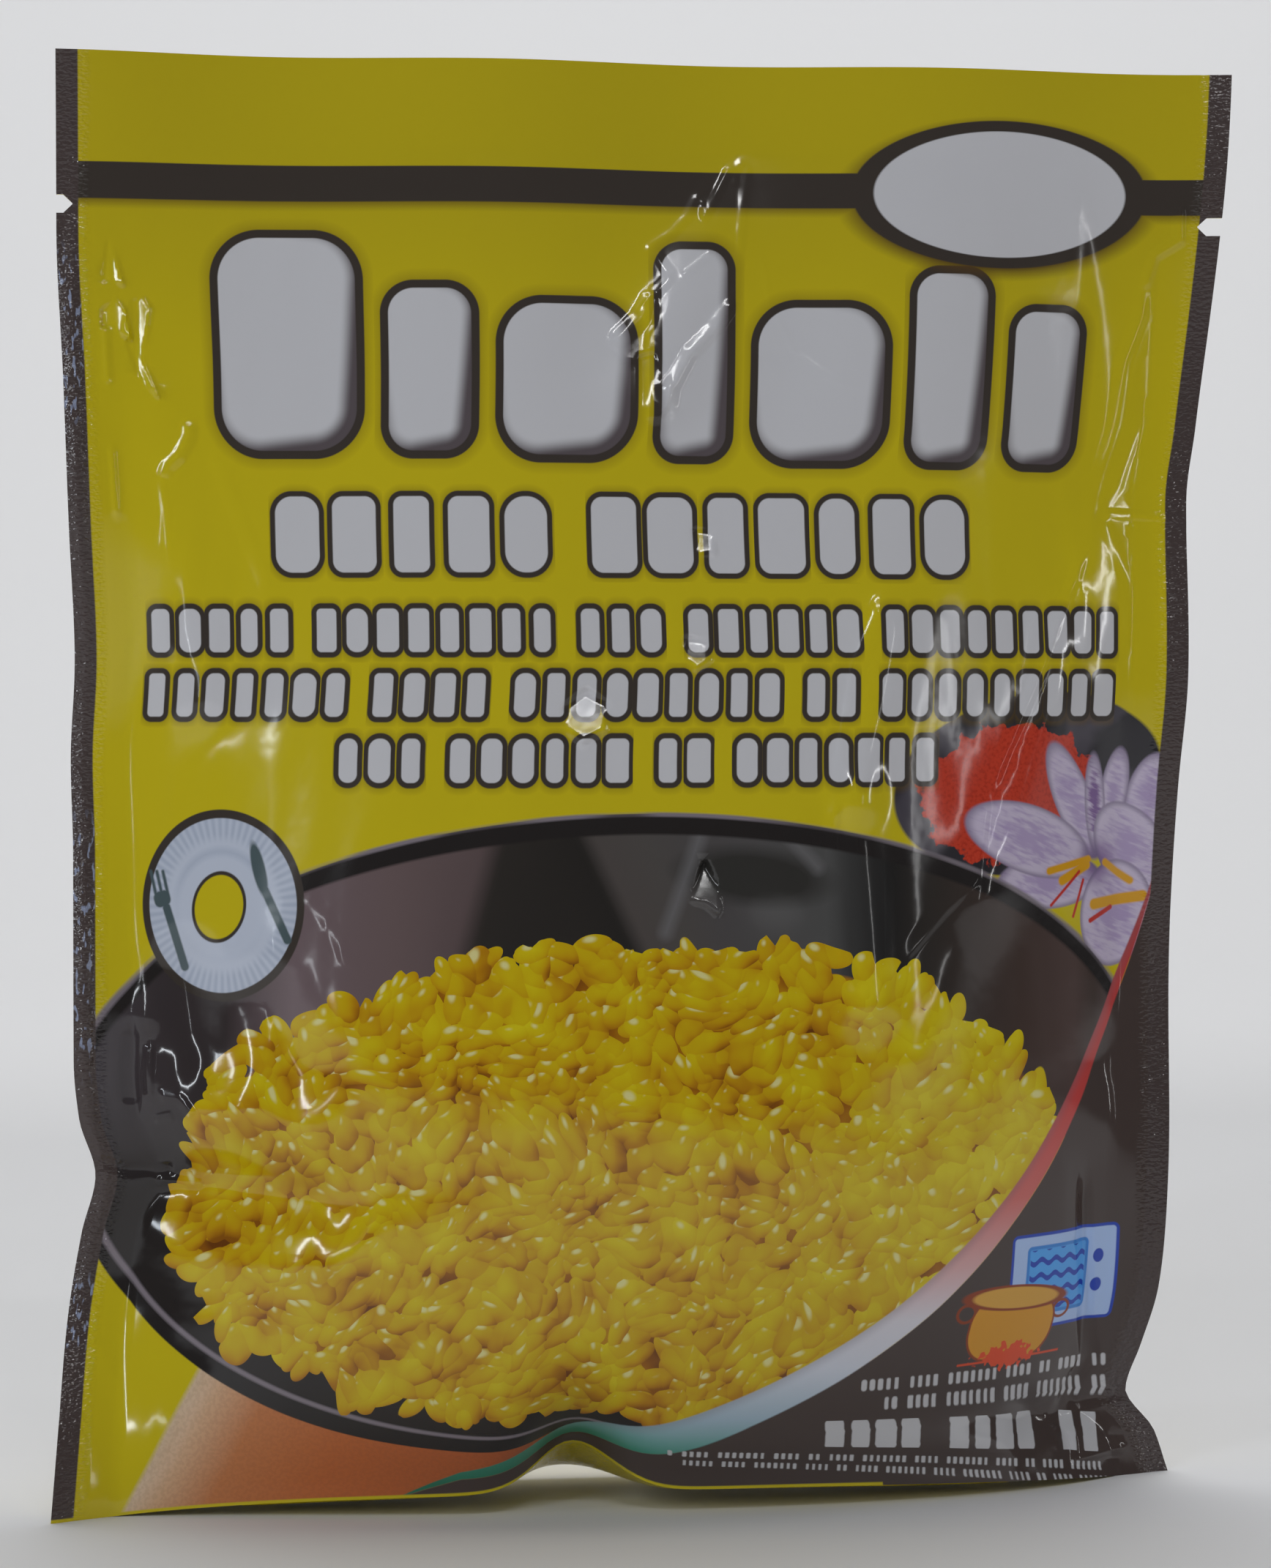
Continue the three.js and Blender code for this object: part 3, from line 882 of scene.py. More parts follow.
YELLOW = ink(217, 197, 20)
HEADER_YELLOW = ink(204, 184, 22)
DARK = ink(66, 58, 52)
BORDER = ink(78, 66, 64)
SOFT_SHADE = ink(120, 92, 22)
WHITE = ink(220, 219, 223)
PALE_SHADE = ink(120, 108, 118)
SPOON, SPOON_SHEEN = ink(46, 43, 48), ink(80, 75, 84)
SPICE, SPICE_DARK = ink(210, 66, 42), ink(172, 40, 22)
LILAC, LILAC_DEEP, VIOLET = ink(216, 203, 226), ink(186, 166, 206), ink(132, 98, 156)
PETAL_EDGE = ink(120, 104, 138)
STAMEN = ink(232, 168, 24)
PAN_DARK = ink(38, 33, 32)
PAN_RIM = ink(140, 130, 138)
BROWN = ink(76, 63, 59)
PLATE, GROOVE, CUTLERY = ink(208, 215, 231), ink(160, 173, 196), ink(82, 98, 102)
TILE, TILE_INNER, TILE_LINE = ink(182, 208, 252), ink(88, 176, 255), ink(36, 72, 188)
POT, POT_LINE, FLAME = ink(226, 158, 34), ink(150, 62, 20), ink(236, 78, 30)
TEXT_GREY = ink(212, 211, 214)

# Print places on the front panel, film millimetres.
PRINT_LEFT, PRINT_RIGHT = -79.5, 79.4
BAND_LOW, BAND_HIGH = 180.1, 185.1
OVAL_PLACE, OVAL_SIZE = (50.0, 182.4), (18.5, 8.9)
BADGE_PLACE, BADGE_SIZE = (-60.6, 83.4), (11.1, 11.9)
PANE_PLACE, PANE_TURN = (64.9, 30.1), 2
HEADER_FROM, HEADER_FULL = 150.0, 186.0
PAN = ((-1.7, 51.6), (83.9, 44.4), 0.8)
PAN_EDGE = ((-1.4, 52.9), (83.2, 43.0), 0.5)
PAN_WALL = ((-1.6, 51.9), (81.6, 41.3), 0.6)
HEAP_PLACE, HEAP_SIZE, HEAP_TURN = (-3.0, 45.6), (66.2, 32.8), 2.8
SWOOSH_INNER, SWOOSH_INNER_RADIUS = (-27.4, 119.5), 112.1
SWOOSH_OUTER, SWOOSH_OUTER_RADIUS = (-24.5, 109.8), 107.1
SWOOSH_END = -34.0

# Rows of blocks word by word, as (middle height, pitch, ((start, count), ...)).
TITLE_ROWS = (
    (103.2, 4.4, ((-44.5, 3), (-28.8, 6), (0.3, 2), (11.6, 7))),
    (112.1, 4.35, ((-73.0, 7), (-40.1, 4), (-20.2, 9), (21.4, 2), (32.6, 9))),
    (120.9, 4.35, ((-72.5, 5), (-48.3, 8), (-11.0, 3), (4.5, 6), (33.1, 9))),
    (134.0, 8.1, ((-54.0, 5), (-9.0, 7))),
)
# Heights at which the weight rows are drawn upright again where the outline slants, and the row
# that they are lined up with.
LEAN_HEIGHTS = (1.5, 3.0, 4.5, 6.0, 7.7, 9.0, 10.3, 12.9, 16.0, 19.0)
LEAN_ROW = 10.3
LEAN_FOOT, LEAN_PACE = -43.0, 0.87  # the place that stays, and how far x moves with the film there
LEAN_SPAN = ((-0.125, 0.25),)
# Rows of small blocks, as (middle height, half height, from, to).
WEIGHT_ROWS = (
    (3.9, 0.6, 8, 78), (6.0, 0.65, 6, 78), (10.3, 2.5, 28, 77),
    (14.6, 0.8, 39, 78), (17.2, 0.8, 35, 78),
)
BACK_ROWS = tuple((32.0 + 5.0 * k, 1.1, -66, 14) for k in range(23))
# The big blocks of the headline, as (from, to, low, high).
HEADLINE = (
    (-60.5, -41.5, 145.5, 175.0), (-37.0, -25.5, 145.5, 168.0), (-21.0, -3.0, 145.0, 166.0),
    (1.5, 11.0, 145.0, 174.0), (15.5, 33.5, 144.5, 166.0), (38.0, 48.5, 144.5, 171.0),
    (53.0, 63.0, 144.5, 166.0),
)

FLOWER_HEART = (69.9, 88.5)
# Petals, as (middle, half sizes, turn), the hindmost first.
PETALS = (
    ((61.0, 86.0), (9.8, 3.9), 2), ((78.3, 97.4), (6.6, 3.4), 80),
    ((72.7, 98.4), (6.4, 2.5), 82), ((65.3, 97.2), (9.5, 3.2), -60),
    ((69.3, 96.6), (7.4, 1.9), -84), ((75.6, 90.4), (7.6, 5.2), -48),
    ((73.4, 81.2), (7.6, 6.4), 84), ((57.4, 91.9), (11.4, 4.8), -16),
)
STAMENS = (
    ((61.0, 87.4), (68.3, 88.9), 1.1), ((63.4, 86.0), (68.0, 88.1), 1.4),
    ((71.6, 88.4), (76.2, 85.7), 1.1), ((69.6, 82.5), (78.2, 83.5), 1.6),
)
THREADS = (
    ((61.4, 82.6), (66.6, 87.2), 0.45), ((65.6, 80.9), (67.4, 86.0), 0.45),
    ((69.0, 80.2), (73.0, 82.0), 0.7),
)

GRAIN_LAYERS = (  # turn, half length, half width, seed
    (18, 2.8, 1.6, 11.0), (-32, 2.65, 1.55, 23.0), (72, 2.6, 1.5, 37.0),
    (-68, 2.7, 1.55, 51.0), (44, 2.5, 1.45, 67.0), (-6, 2.4, 1.4, 83.0),
)
GRAIN_SPACING = 2.3  # cell size in grain half sizes
GRAIN_LAP = 2.2  # how far grains lie out over the edge of their bed
GRAIN_LIGHT = 118.0  # direction that the pictured light comes from, degrees


ABSENT = 9.0  # how far out a place lies where a block is left out
LETTER_PITCH, LETTER_SHIFT = 1.62, 0.37  # in half heights, and by a row's height
WORD_GAPS = 0.17  # share of blocks left out between words
HEADLINE_CORNER = 0.62
WORD_SPANS = ((-100.0, 200.0), (0.0, 20.0), (0.0, 10.0))  # of a word's start, count and pitch
ROW_SPAN = ((80.0, 80.0),)  # of a row's middle height


def cell_block(press, run, cell, pitch, chance, rise, half, gap, slimming, rounding):
    """Offset from a cell's middle, and distance out from the cell's block."""
    local = press.times(press.minus(press.minus(run, cell), 0.5), pitch)
    room = press.scaled(pitch, 0.5, -gap)
    room = press.times(room, press.scaled(chance[0], -slimming, 1.0))
    corner = press.times(room, press.scaled(chance[1], 0.5, rounding))
    return local, press.block(local, rise, room, half, corner)


def word_blocks(press, s, h, rows, gap):
    """Distance out from rows of rounded blocks in words, which stand in the place of wording."""
    found = None
    feet = [rows[0][0] - 8] + [(a[0] + b[0]) / 2 for a, b in zip(rows, rows[1:])]
    for foot, (middle, pitch, words) in zip(feet, rows):
        stops = []
        for k, (start, count) in enumerate(words):
            ended = words[k - 1][0] + words[k - 1][1] * pitch if k else -168.0 - start
            stops.append(((ended + start) / 2, (start, count, pitch)))
        row = press.packed(s, stops + [(84.0, stops[-1][1])], WORD_SPANS)[0]
        found = press.lay(found, row, press.maths("GREATER_THAN", h, foot)) if found else row
    start, count, pitch = press.unpacked([found], WORD_SPANS)
    heights = [(foot, row[:1]) for foot, row in zip(feet, rows)]
    heights.append((rows[-1][0] + 8, heights[-1][1]))
    (middle,) = press.unpacked(press.packed(h, heights, ROW_SPAN), ROW_SPAN)
    run = press.maths("DIVIDE", press.minus(s, start), pitch)
    cell = press.maths("FLOOR", run)
    chance = press.draw(press.pair(press.plus(cell, start), middle))
    half = press.scaled(pitch, 0.6, 0.35)
    rise = press.minus(h, middle)
    _, distance = cell_block(press, run, cell, pitch, chance, rise, half, gap, 0.3, 0.45)
    absent = press.both(
        press.maths("LESS_THAN", run, 0.0),
        press.maths("GREATER_THAN", press.plus(cell, 0.5), count),
    )
    return press.scaled(absent, ABSENT, distance)


def letter_blocks(press, s, h, rows, gap):
    """Distance out from rows of small rounded blocks, in the place of small wording."""
    low = rows[0][0] - 2 * rows[0][1]
    high = rows[-1][0] + 2 * rows[-1][1]
    spans = ((low, high - low), (0.0, 10.0), (-100.0, 200.0), (-100.0, 200.0))
    stops = []
    for k, row in enumerate(rows):
        stops.append(((rows[k - 1][0] + row[0]) / 2 if k else low, row))
    found = press.packed(h, stops + [(high, rows[-1])], spans)
    middle, half, start, end = press.unpacked(found, spans)
    pitch = press.times(half, LETTER_PITCH)
    run = press.plus(press.maths("DIVIDE", s, pitch), press.times(middle, LETTER_SHIFT))
    cell = press.maths("FLOOR", run)
    chance = press.draw(press.pair(cell, middle))
    rise = press.minus(h, middle)
    local, distance = cell_block(press, run, cell, pitch, chance, rise, half, gap, 0.34, 0.4)
    # A block is left out between two words, and beyond the row's two ends.
    word = press.scaled(middle, 0.618, press.times(cell, 0.382))
    here = press.minus(s, local)
    absent = press.both(
        press.maths("LESS_THAN", press.maths("FRACT", word), WORD_GAPS),
        press.maths("LESS_THAN", here, start),
        press.maths("GREATER_THAN", here, end),
    )
    return press.scaled(absent, ABSENT, distance)


def headline_blocks(press, s, h):
    """Distance out from the big blocks, and how far towards the lower right a place lies."""
    low, high = HEADLINE[0][0] - 6, HEADLINE[-1][1] + 6
    spans = ((low, high - low), (0.0, 20.0), (140.0, 40.0), (0.0, 40.0))
    stops = []
    for k, (left, right, bottom, top) in enumerate(HEADLINE):
        sizes = ((left + right) / 2, (right - left) / 2, (bottom + top) / 2, (top - bottom) / 2)
        stops.append(((HEADLINE[k - 1][1] + left) / 2 if k else low, sizes))
    found = press.packed(s, stops + [(high, stops[-1][1])], spans)
    centre, half, middle, tall = press.unpacked(found, spans)
    corner = press.times(half, HEADLINE_CORNER)
    aside, aloft = press.minus(s, centre), press.minus(h, middle)
    beyond = press.beyond(aside, aloft, half, tall, corner)
    outer = press.vector("LENGTH", press.vector("MAXIMUM", press.pair(*beyond), (0.0, 0.0, 0.0)))
    inner = press.maths("MINIMUM", press.both(*beyond), 0.0)
    distance = press.minus(press.plus(outer, inner), corner)
    down = press.times(press.maths("DIVIDE", aloft, tall), -1.0)
    return distance, press.plus(press.maths("DIVIDE", aside, half), down)


# Inks along a value, as (place, red, green, blue).
GRAIN_TONES = (
    (-1.0, 150, 90, 0), (-0.6, 188, 128, 0), (-0.2, 207, 160, 0),
    (0.3, 215, 180, 0), (0.8, 221, 195, 4), (1.3, 228, 208, 18),
)
GRAIN_GAPS = ((0.3, 116, 62, 0), (0.5, 164, 100, 0), (0.7, 194, 138, 0))
# The pan wall's inks along s. Between s -5.5 and 25 their grey is partly a painted glare of the
# film over the printed wall.
WALL_AND_GLARE_TONES = (
    (-84, 84, 78, 84), (-72, 64, 56, 58), (-60, 56, 48, 48), (-50, 122, 104, 108),
    (-36, 114, 96, 96), (-24.5, 100, 84, 84), (-21.5, 50, 45, 41), (-8, 42, 38, 35),
    (-5.5, 86, 79, 76), (1, 86, 81, 78), (10, 84, 80, 80), (25, 88, 87, 86),
    (28, 64, 63, 62), (34, 34, 32, 31), (41, 54, 48, 44), (56, 74, 58, 52),
    (66, 92, 74, 70), (70, 70, 56, 50), (75, 104, 88, 88), (84, 104, 90, 92),
)
BOW_TONES = (
    (2, 40, 120, 92), (6, 66, 150, 126), (9, 120, 176, 172), (13, 176, 200, 216),
    (20, 222, 226, 238), (26, 230, 226, 234), (33, 228, 180, 180), (42, 218, 116, 110),
    (54, 208, 76, 72), (90, 196, 62, 60),
)
CLOTH_TONES = (
    (0, 228, 202, 172), (4, 222, 178, 138), (11, 204, 126, 72),
    (24, 202, 110, 54), (44, 190, 98, 50), (60, 134, 72, 42),
)
GRAIN_GLEAM = ink(238, 230, 160)


def rice(press, point, under):
    """A heap of cooked grains, drawn as layers of small lit ovals."""
    waver = press.noise(point, 11.0, 0.0)["Color"]
    moved = press.vector("MULTIPLY_ADD", waver, (4.5, 4.5, 0.0), point)
    bed_size = [half - GRAIN_LAP for half in HEAP_SIZE]
    bed = press.ellipse(point, HEAP_PLACE, bed_size, HEAP_TURN)
    heap = [place + GRAIN_LAP for place in HEAP_PLACE]
    patch = press.noise(point, 7.0, 2.0)[0]
    colour = press.stamp(under, press.tints(patch, GRAIN_GAPS), bed, 0.5)
    lump = press.scaled(patch, 2.6, -1.3)
    lump = press.plus(lump, press.between(press.split(point)[0], 12.0, 56.0, 0.0, 0.7))
    height = 0.2
    for turn, long, wide, seed in GRAIN_LAYERS:
        size = (long * GRAIN_SPACING, wide * GRAIN_SPACING)
        own = press.placed(moved, (seed, seed), turn, size)
        cell = press.node("ShaderNodeTexVoronoi", voronoi_dimensions="2D", feature="F1")
        press.fill(cell.inputs["Vector"], own)
        cell.inputs["Scale"].default_value = 1.0
        cell.inputs["Randomness"].default_value = 0.9
        home = press.placed(cell.outputs["Position"], (seed, seed), turn, size, back=True)
        in_heap = press.vector("LENGTH", press.placed(home, heap, HEAP_TURN, HEAP_SIZE))
        out = press.vector("SUBTRACT", own, cell.outputs["Position"])
        out = press.vector("MULTIPLY", out, (GRAIN_SPACING, GRAIN_SPACING, 0.0))
        round_off = press.vector("DOT_PRODUCT", out, out)
        chance = press.parts(cell.outputs["Color"])
        level = press.scaled(round_off, -0.6, 0.7)
        level = press.scaled(chance[0], 0.8, level)
        in_grain = press.maths("LESS_THAN", round_off, 1.0)
        whole = press.times(in_grain, press.maths("LESS_THAN", in_heap, 1.0))
        level = press.times(level, whole)
        towards = math.radians(GRAIN_LIGHT - turn)
        light = (math.cos(towards), math.sin(towards), 0.0)
        lit = press.vector("DOT_PRODUCT", out, light)
        tone = press.scaled(lit, 0.55, lump)
        tone = press.scaled(round_off, -0.4, tone)
        tone = press.scaled(chance[1], 0.5, tone)
        grain = press.tints(tone, GRAIN_TONES)
        gleam = press.vector("DISTANCE", out, (light[0] * 0.62, light[1] * 0.62, 0.0))
        gleam = press.scaled(chance[2], 0.5, press.times(gleam, -1.0))
        grain = press.lay(grain, GRAIN_GLEAM, press.between(gleam, 0.0, 0.3, 0.0, 0.9))
        above = press.scaled(press.minus(level, height), 14.0, 0.5, clamp=True)
        colour = press.lay(colour, grain, above)
        height = press.both(level, height)
    return colour


def dish(press, point, s, h, colour, sheen):
    """The dark pan, with a painted glare of the film on its far wall where sheen is set."""
    pan = press.ellipse(point, *PAN)
    colour = press.stamp(colour, PAN_DARK, pan)
    edge = press.size_of(press.ellipse(point, *PAN_EDGE))
    glint = press.between(press.noise(point, 16.0)[0], 0.35, 0.6, 0.35, 1.0)
    glint = press.both(glint, press.between(h, 52.0, 42.0))
    colour = press.lay(colour, PAN_RIM, press.times(press.inside(edge, 0.3, 0.28), glint))
    wall = press.ellipse(point, *PAN_WALL)
    # The edges of the wall's dark stripe lean in at its foot on one side, and out on the other.
    upper = press.minus(h, 88.0)
    lean_right = press.between(s, -16.0, -10.0, 0.0, 0.5)
    lean_right = press.times(lean_right, press.between(s, 12.0, 4.0))
    lean_left = press.between(s, -32.0, -27.0, 0.0, -0.27)
    lean_left = press.times(lean_left, press.between(s, -14.0, -19.0))
    leaning = press.scaled(press.plus(lean_right, lean_left), upper, s)
    tone = press.tints(leaning, WALL_AND_GLARE_TONES)
    if sheen:
        # Painted reflection: a muted glare of the film lies over the far wall, with a darker patch
        # in it and two light streaks.
        painted_dark_patch = press.ellipse(point, (14.6, 87.4), (10.2, 3.6), -6)
        tone = press.stamp(tone, ink(54, 52, 49), painted_dark_patch, 2.0)
        # Painted highlights: two light streaks of the film's glare.
        bright = press.nearest(
            press.stroke(point, (2.0, 80.0), (7.6, 95.0), 0.7),
            press.stroke(point, (16.0, 96.5), (23.6, 88.6), 0.5),
        )
        tone = press.stamp(tone, ink(124, 122, 124), bright, 2.6)
    tone = press.lay(ink(40, 34, 32), tone, press.between(h, 40.0, 62.0))
    return press.stamp(colour, tone, wall, 0.4)


def flower(press, point, colour):
    """Spice on a dark spoon and a lilac flower, in plain ovals."""
    spoon = press.ellipse(point, (57.5, 99.8), (22.4, 12.5), 8)
    sheen = press.between(press.noise(point, 9.0)[0], 0.45, 0.65)
    spooned = press.lay(SPOON, SPOON_SHEEN, sheen)
    colour = press.stamp(colour, spooned, spoon, 0.3)
    ragged = press.noise(point, 2.4, 3.0)[0]
    spice = press.ellipse(point, (54.6, 98.2), (14.6, 9.8), 4)
    spice = press.scaled(ragged, 4.6, press.minus(spice, 2.3))
    crumbs = press.between(press.noise(point, 0.55, 2.0)[0], 0.25, 0.6, 0.45, 1.0)
    colour = press.stamp(colour, press.lay(SPICE_DARK, SPICE, crumbs), spice, 0.3)
    veins = press.noise(press.placed(point, FLOWER_HEART, -20, (3.0, 0.6)), 1.0, 2.0)[0]
    heart = press.vector("DISTANCE", point, (*FLOWER_HEART, 0))
    for k, (middle, size, turn) in enumerate(PETALS):
        own = press.placed(point, middle, turn, size)
        reach = press.vector("LENGTH", own)
        distance = press.scaled(reach, min(size), -min(size))
        tone = press.scaled(veins, 0.9, press.times(reach, 0.55))
        petal = press.lay(VIOLET if k == 4 else LILAC_DEEP, LILAC, press.between(tone, 0.5, 0.95))
        petal = press.lay(VIOLET, petal, press.between(heart, 0.5, 5.0, 0.1, 1.0))
        petal = press.lay(petal, PETAL_EDGE, press.between(distance, -0.9, 0.1, 0.0, 0.75))
        colour = press.stamp(colour, petal, distance, 0.25)
    stamens = press.nearest(*(press.stroke(point, *stamen) for stamen in STAMENS))
    colour = press.stamp(colour, STAMEN, stamens, 0.3)
    threads = press.nearest(*(press.stroke(point, *thread) for thread in THREADS))
    return press.stamp(colour, ink(206, 52, 40), threads, 0.2)


def swoosh(press, point, s, h, colour):
    """The long bow of colour and the brown field beyond it."""
    turned_up = press.both(press.scaled(s, -1.0, SWOOSH_OUTER[0]), 0.0)
    sinking = press.scaled(turned_up, 0.3, h)
    sinking = press.maths("MINIMUM", sinking, SWOOSH_OUTER[1])
    held = press.pair(press.both(s, SWOOSH_OUTER[0]), sinking)
    outer = press.minus(press.vector("DISTANCE", held, (*SWOOSH_OUTER, 0)), SWOOSH_OUTER_RADIUS)
    inner = press.minus(press.vector("DISTANCE", point, (*SWOOSH_INNER, 0)), SWOOSH_INNER_RADIUS)
    width = press.scaled(s, 0.16, -0.16 * SWOOSH_END)
    narrow = press.times(press.plus(outer, width), -1.0)
    bow = press.both(press.times(inner, -1.0), outer, narrow)
    colour = press.stamp(colour, BROWN, press.times(outer, -1.0))
    tint = press.tints(h, BOW_TONES)
    shaded = press.lay(PALE_SHADE, tint, press.between(inner, -0.4, 1.8, 0.62, 1.0))
    return press.stamp(colour, shaded, bow, 0.25)


def badge(press, point, colour):
    """A small plate with a fork and a knife, and a helping in its middle."""
    own = press.placed(point, BADGE_PLACE, 0, BADGE_SIZE)
    reach = press.vector("LENGTH", own)
    distance = press.scaled(reach, BADGE_SIZE[0], -BADGE_SIZE[0])
    around = press.split(own)
    angle = press.maths("ARCTAN2", around[1], around[0])
    flutes = press.maths("SINE", press.times(angle, 64.0))
    rim = press.times(press.between(reach, 0.7, 0.84), press.scaled(flutes, 0.22, 0.28))
    plate = press.lay(PLATE, GROOVE, rim)
    well = press.inside(press.size_of(press.minus(reach, 0.62)), 0.12, 0.02)
    well = press.times(well, press.between(around[1], -0.1, 0.5, 0.1, 0.6))
    plate = press.lay(plate, GROOVE, well)
    colour = press.ring(colour, plate, DARK, distance, 1.1)
    helping = press.ellipse(point, (-61.0, 83.2), (3.6, 4.4), -14)
    colour = press.ring(colour, YELLOW, DARK, helping, 0.45)
    fork = press.nearest(
        press.stroke(point, (-69.0, 83.0), (-66.1, 74.9), 1.25),
        press.bar(point, (-69.7, 84.2), (2.6, 2.2), 0.9, 15),
        *(press.stroke(point, (x - 0.8, 87.9), (x, 84.8), 0.5) for x in (-70.7, -69.75, -68.8)),
    )
    knife = press.nearest(
        press.stroke(point, (-54.2, 85.6), (-50.8, 78.9), 1.2),
        press.ellipse(point, (-55.1, 88.4), (3.8, 0.95), -75),
    )
    return press.stamp(colour, CUTLERY, press.nearest(fork, knife), 0.25)


def cooking_signs(press, point, colour):
    """A blue window with steam lines, and a pot over a flame."""
    window = press.bar(point, (66.1, 30.0), (19.4, 13.0), 0.5, 2)
    colour = press.ring(colour, TILE, TILE_LINE, window, 0.45)
    pane = press.bar(point, PANE_PLACE, (11.6, 9.4), 0.5, PANE_TURN)
    colour = press.stamp(colour, ink(60, 140, 226), pane, grow=0.3)
    own = press.split(press.placed(point, PANE_PLACE, PANE_TURN))
    wave = press.maths("SINE", press.times(own[0], 2.3))
    rise = press.scaled(wave, 0.32, own[1])
    rows = press.maths("SINE", press.times(rise, 2.9))
    steam = press.times(press.between(rows, 0.25, 0.65), press.inside(pane, grow=-0.3))
    glass = press.lay(TILE_INNER, TILE_LINE, steam)
    colour = press.stamp(colour, glass, pane, grow=-0.2)
    knobs = (press.ellipse(point, at, (1.0, 1.0)) for at in ((72.8, 32.6), (72.9, 28.4)))
    colour = press.stamp(colour, TILE_LINE, press.nearest(*knobs))
    handles = press.nearest(*(
        press.minus(press.size_of(press.ellipse(point, at, (1.5, 1.2))), 0.2)
        for at in ((49.0, 26.2), (66.4, 25.6))
    ))
    belly = press.bar(point, (57.7, 23.7), (15.0, 8.8), 4.0, -2)
    mouth = press.ellipse(point, (57.6, 27.9), (7.8, 1.5), -2)
    colour = press.stamp(colour, POT_LINE, handles)
    colour = press.ring(colour, POT, POT_LINE, belly, 0.35)
    colour = press.ring(colour, ink(228, 172, 70), POT_LINE, mouth, 0.35)
    lick = press.noise(point, 1.3, 1.0)[0]
    fire = press.ellipse(point, (58.3, 19.6), (4.6, 1.6))
    fire = press.scaled(lick, 3.0, press.minus(fire, 1.5))
    hob = press.stroke(point, (49.6, 18.9), (68.0, 19.4), 0.3)
    return press.stamp(colour, FLAME, press.nearest(fire, hob), 0.2)


# The front film is printed zone by zone, as (name, (from s, from h, to s, to h)).
FRONT_ZONES = (
    ("headline_film", (-84, 141.5, 84, 201)), ("wording_film", (-84, 97.5, 34, 141.5)),
    ("flower_film", (34, 73, 84, 141.5)), ("badge_film", (-84, 68, -46, 97.5)),
    ("dish_film", (-84, 20, 34, 97.5)), ("signs_film", (34, -1, 84, 73)),
    ("foot_film", (-84, -1, 34, 20)),
)


def ground(press, h):
    return press.lay(YELLOW, HEADER_YELLOW, press.between(h, HEADER_FROM, HEADER_FULL))


def side_welds(press, s):
    """Distance out from the dark welds of the two sides."""
    aside = press.both(press.minus(PRINT_LEFT, s), press.minus(s, PRINT_RIGHT))
    return press.times(aside, -1.0)


def outline_lean(height):
    """How far the right of the film moves out at a height, as a share of the way to it."""
    across = np.array([30.0, 45.0, 60.0, 75.0])
    here, level = np.full_like(across, height), np.full_like(across, LEAN_ROW)
    moved = across_to_x(across / INNER, here) - across_to_x(across / INNER, level)
    return round(float(np.mean(moved / ((across - LEAN_FOOT) * LEAN_PACE))), 4)


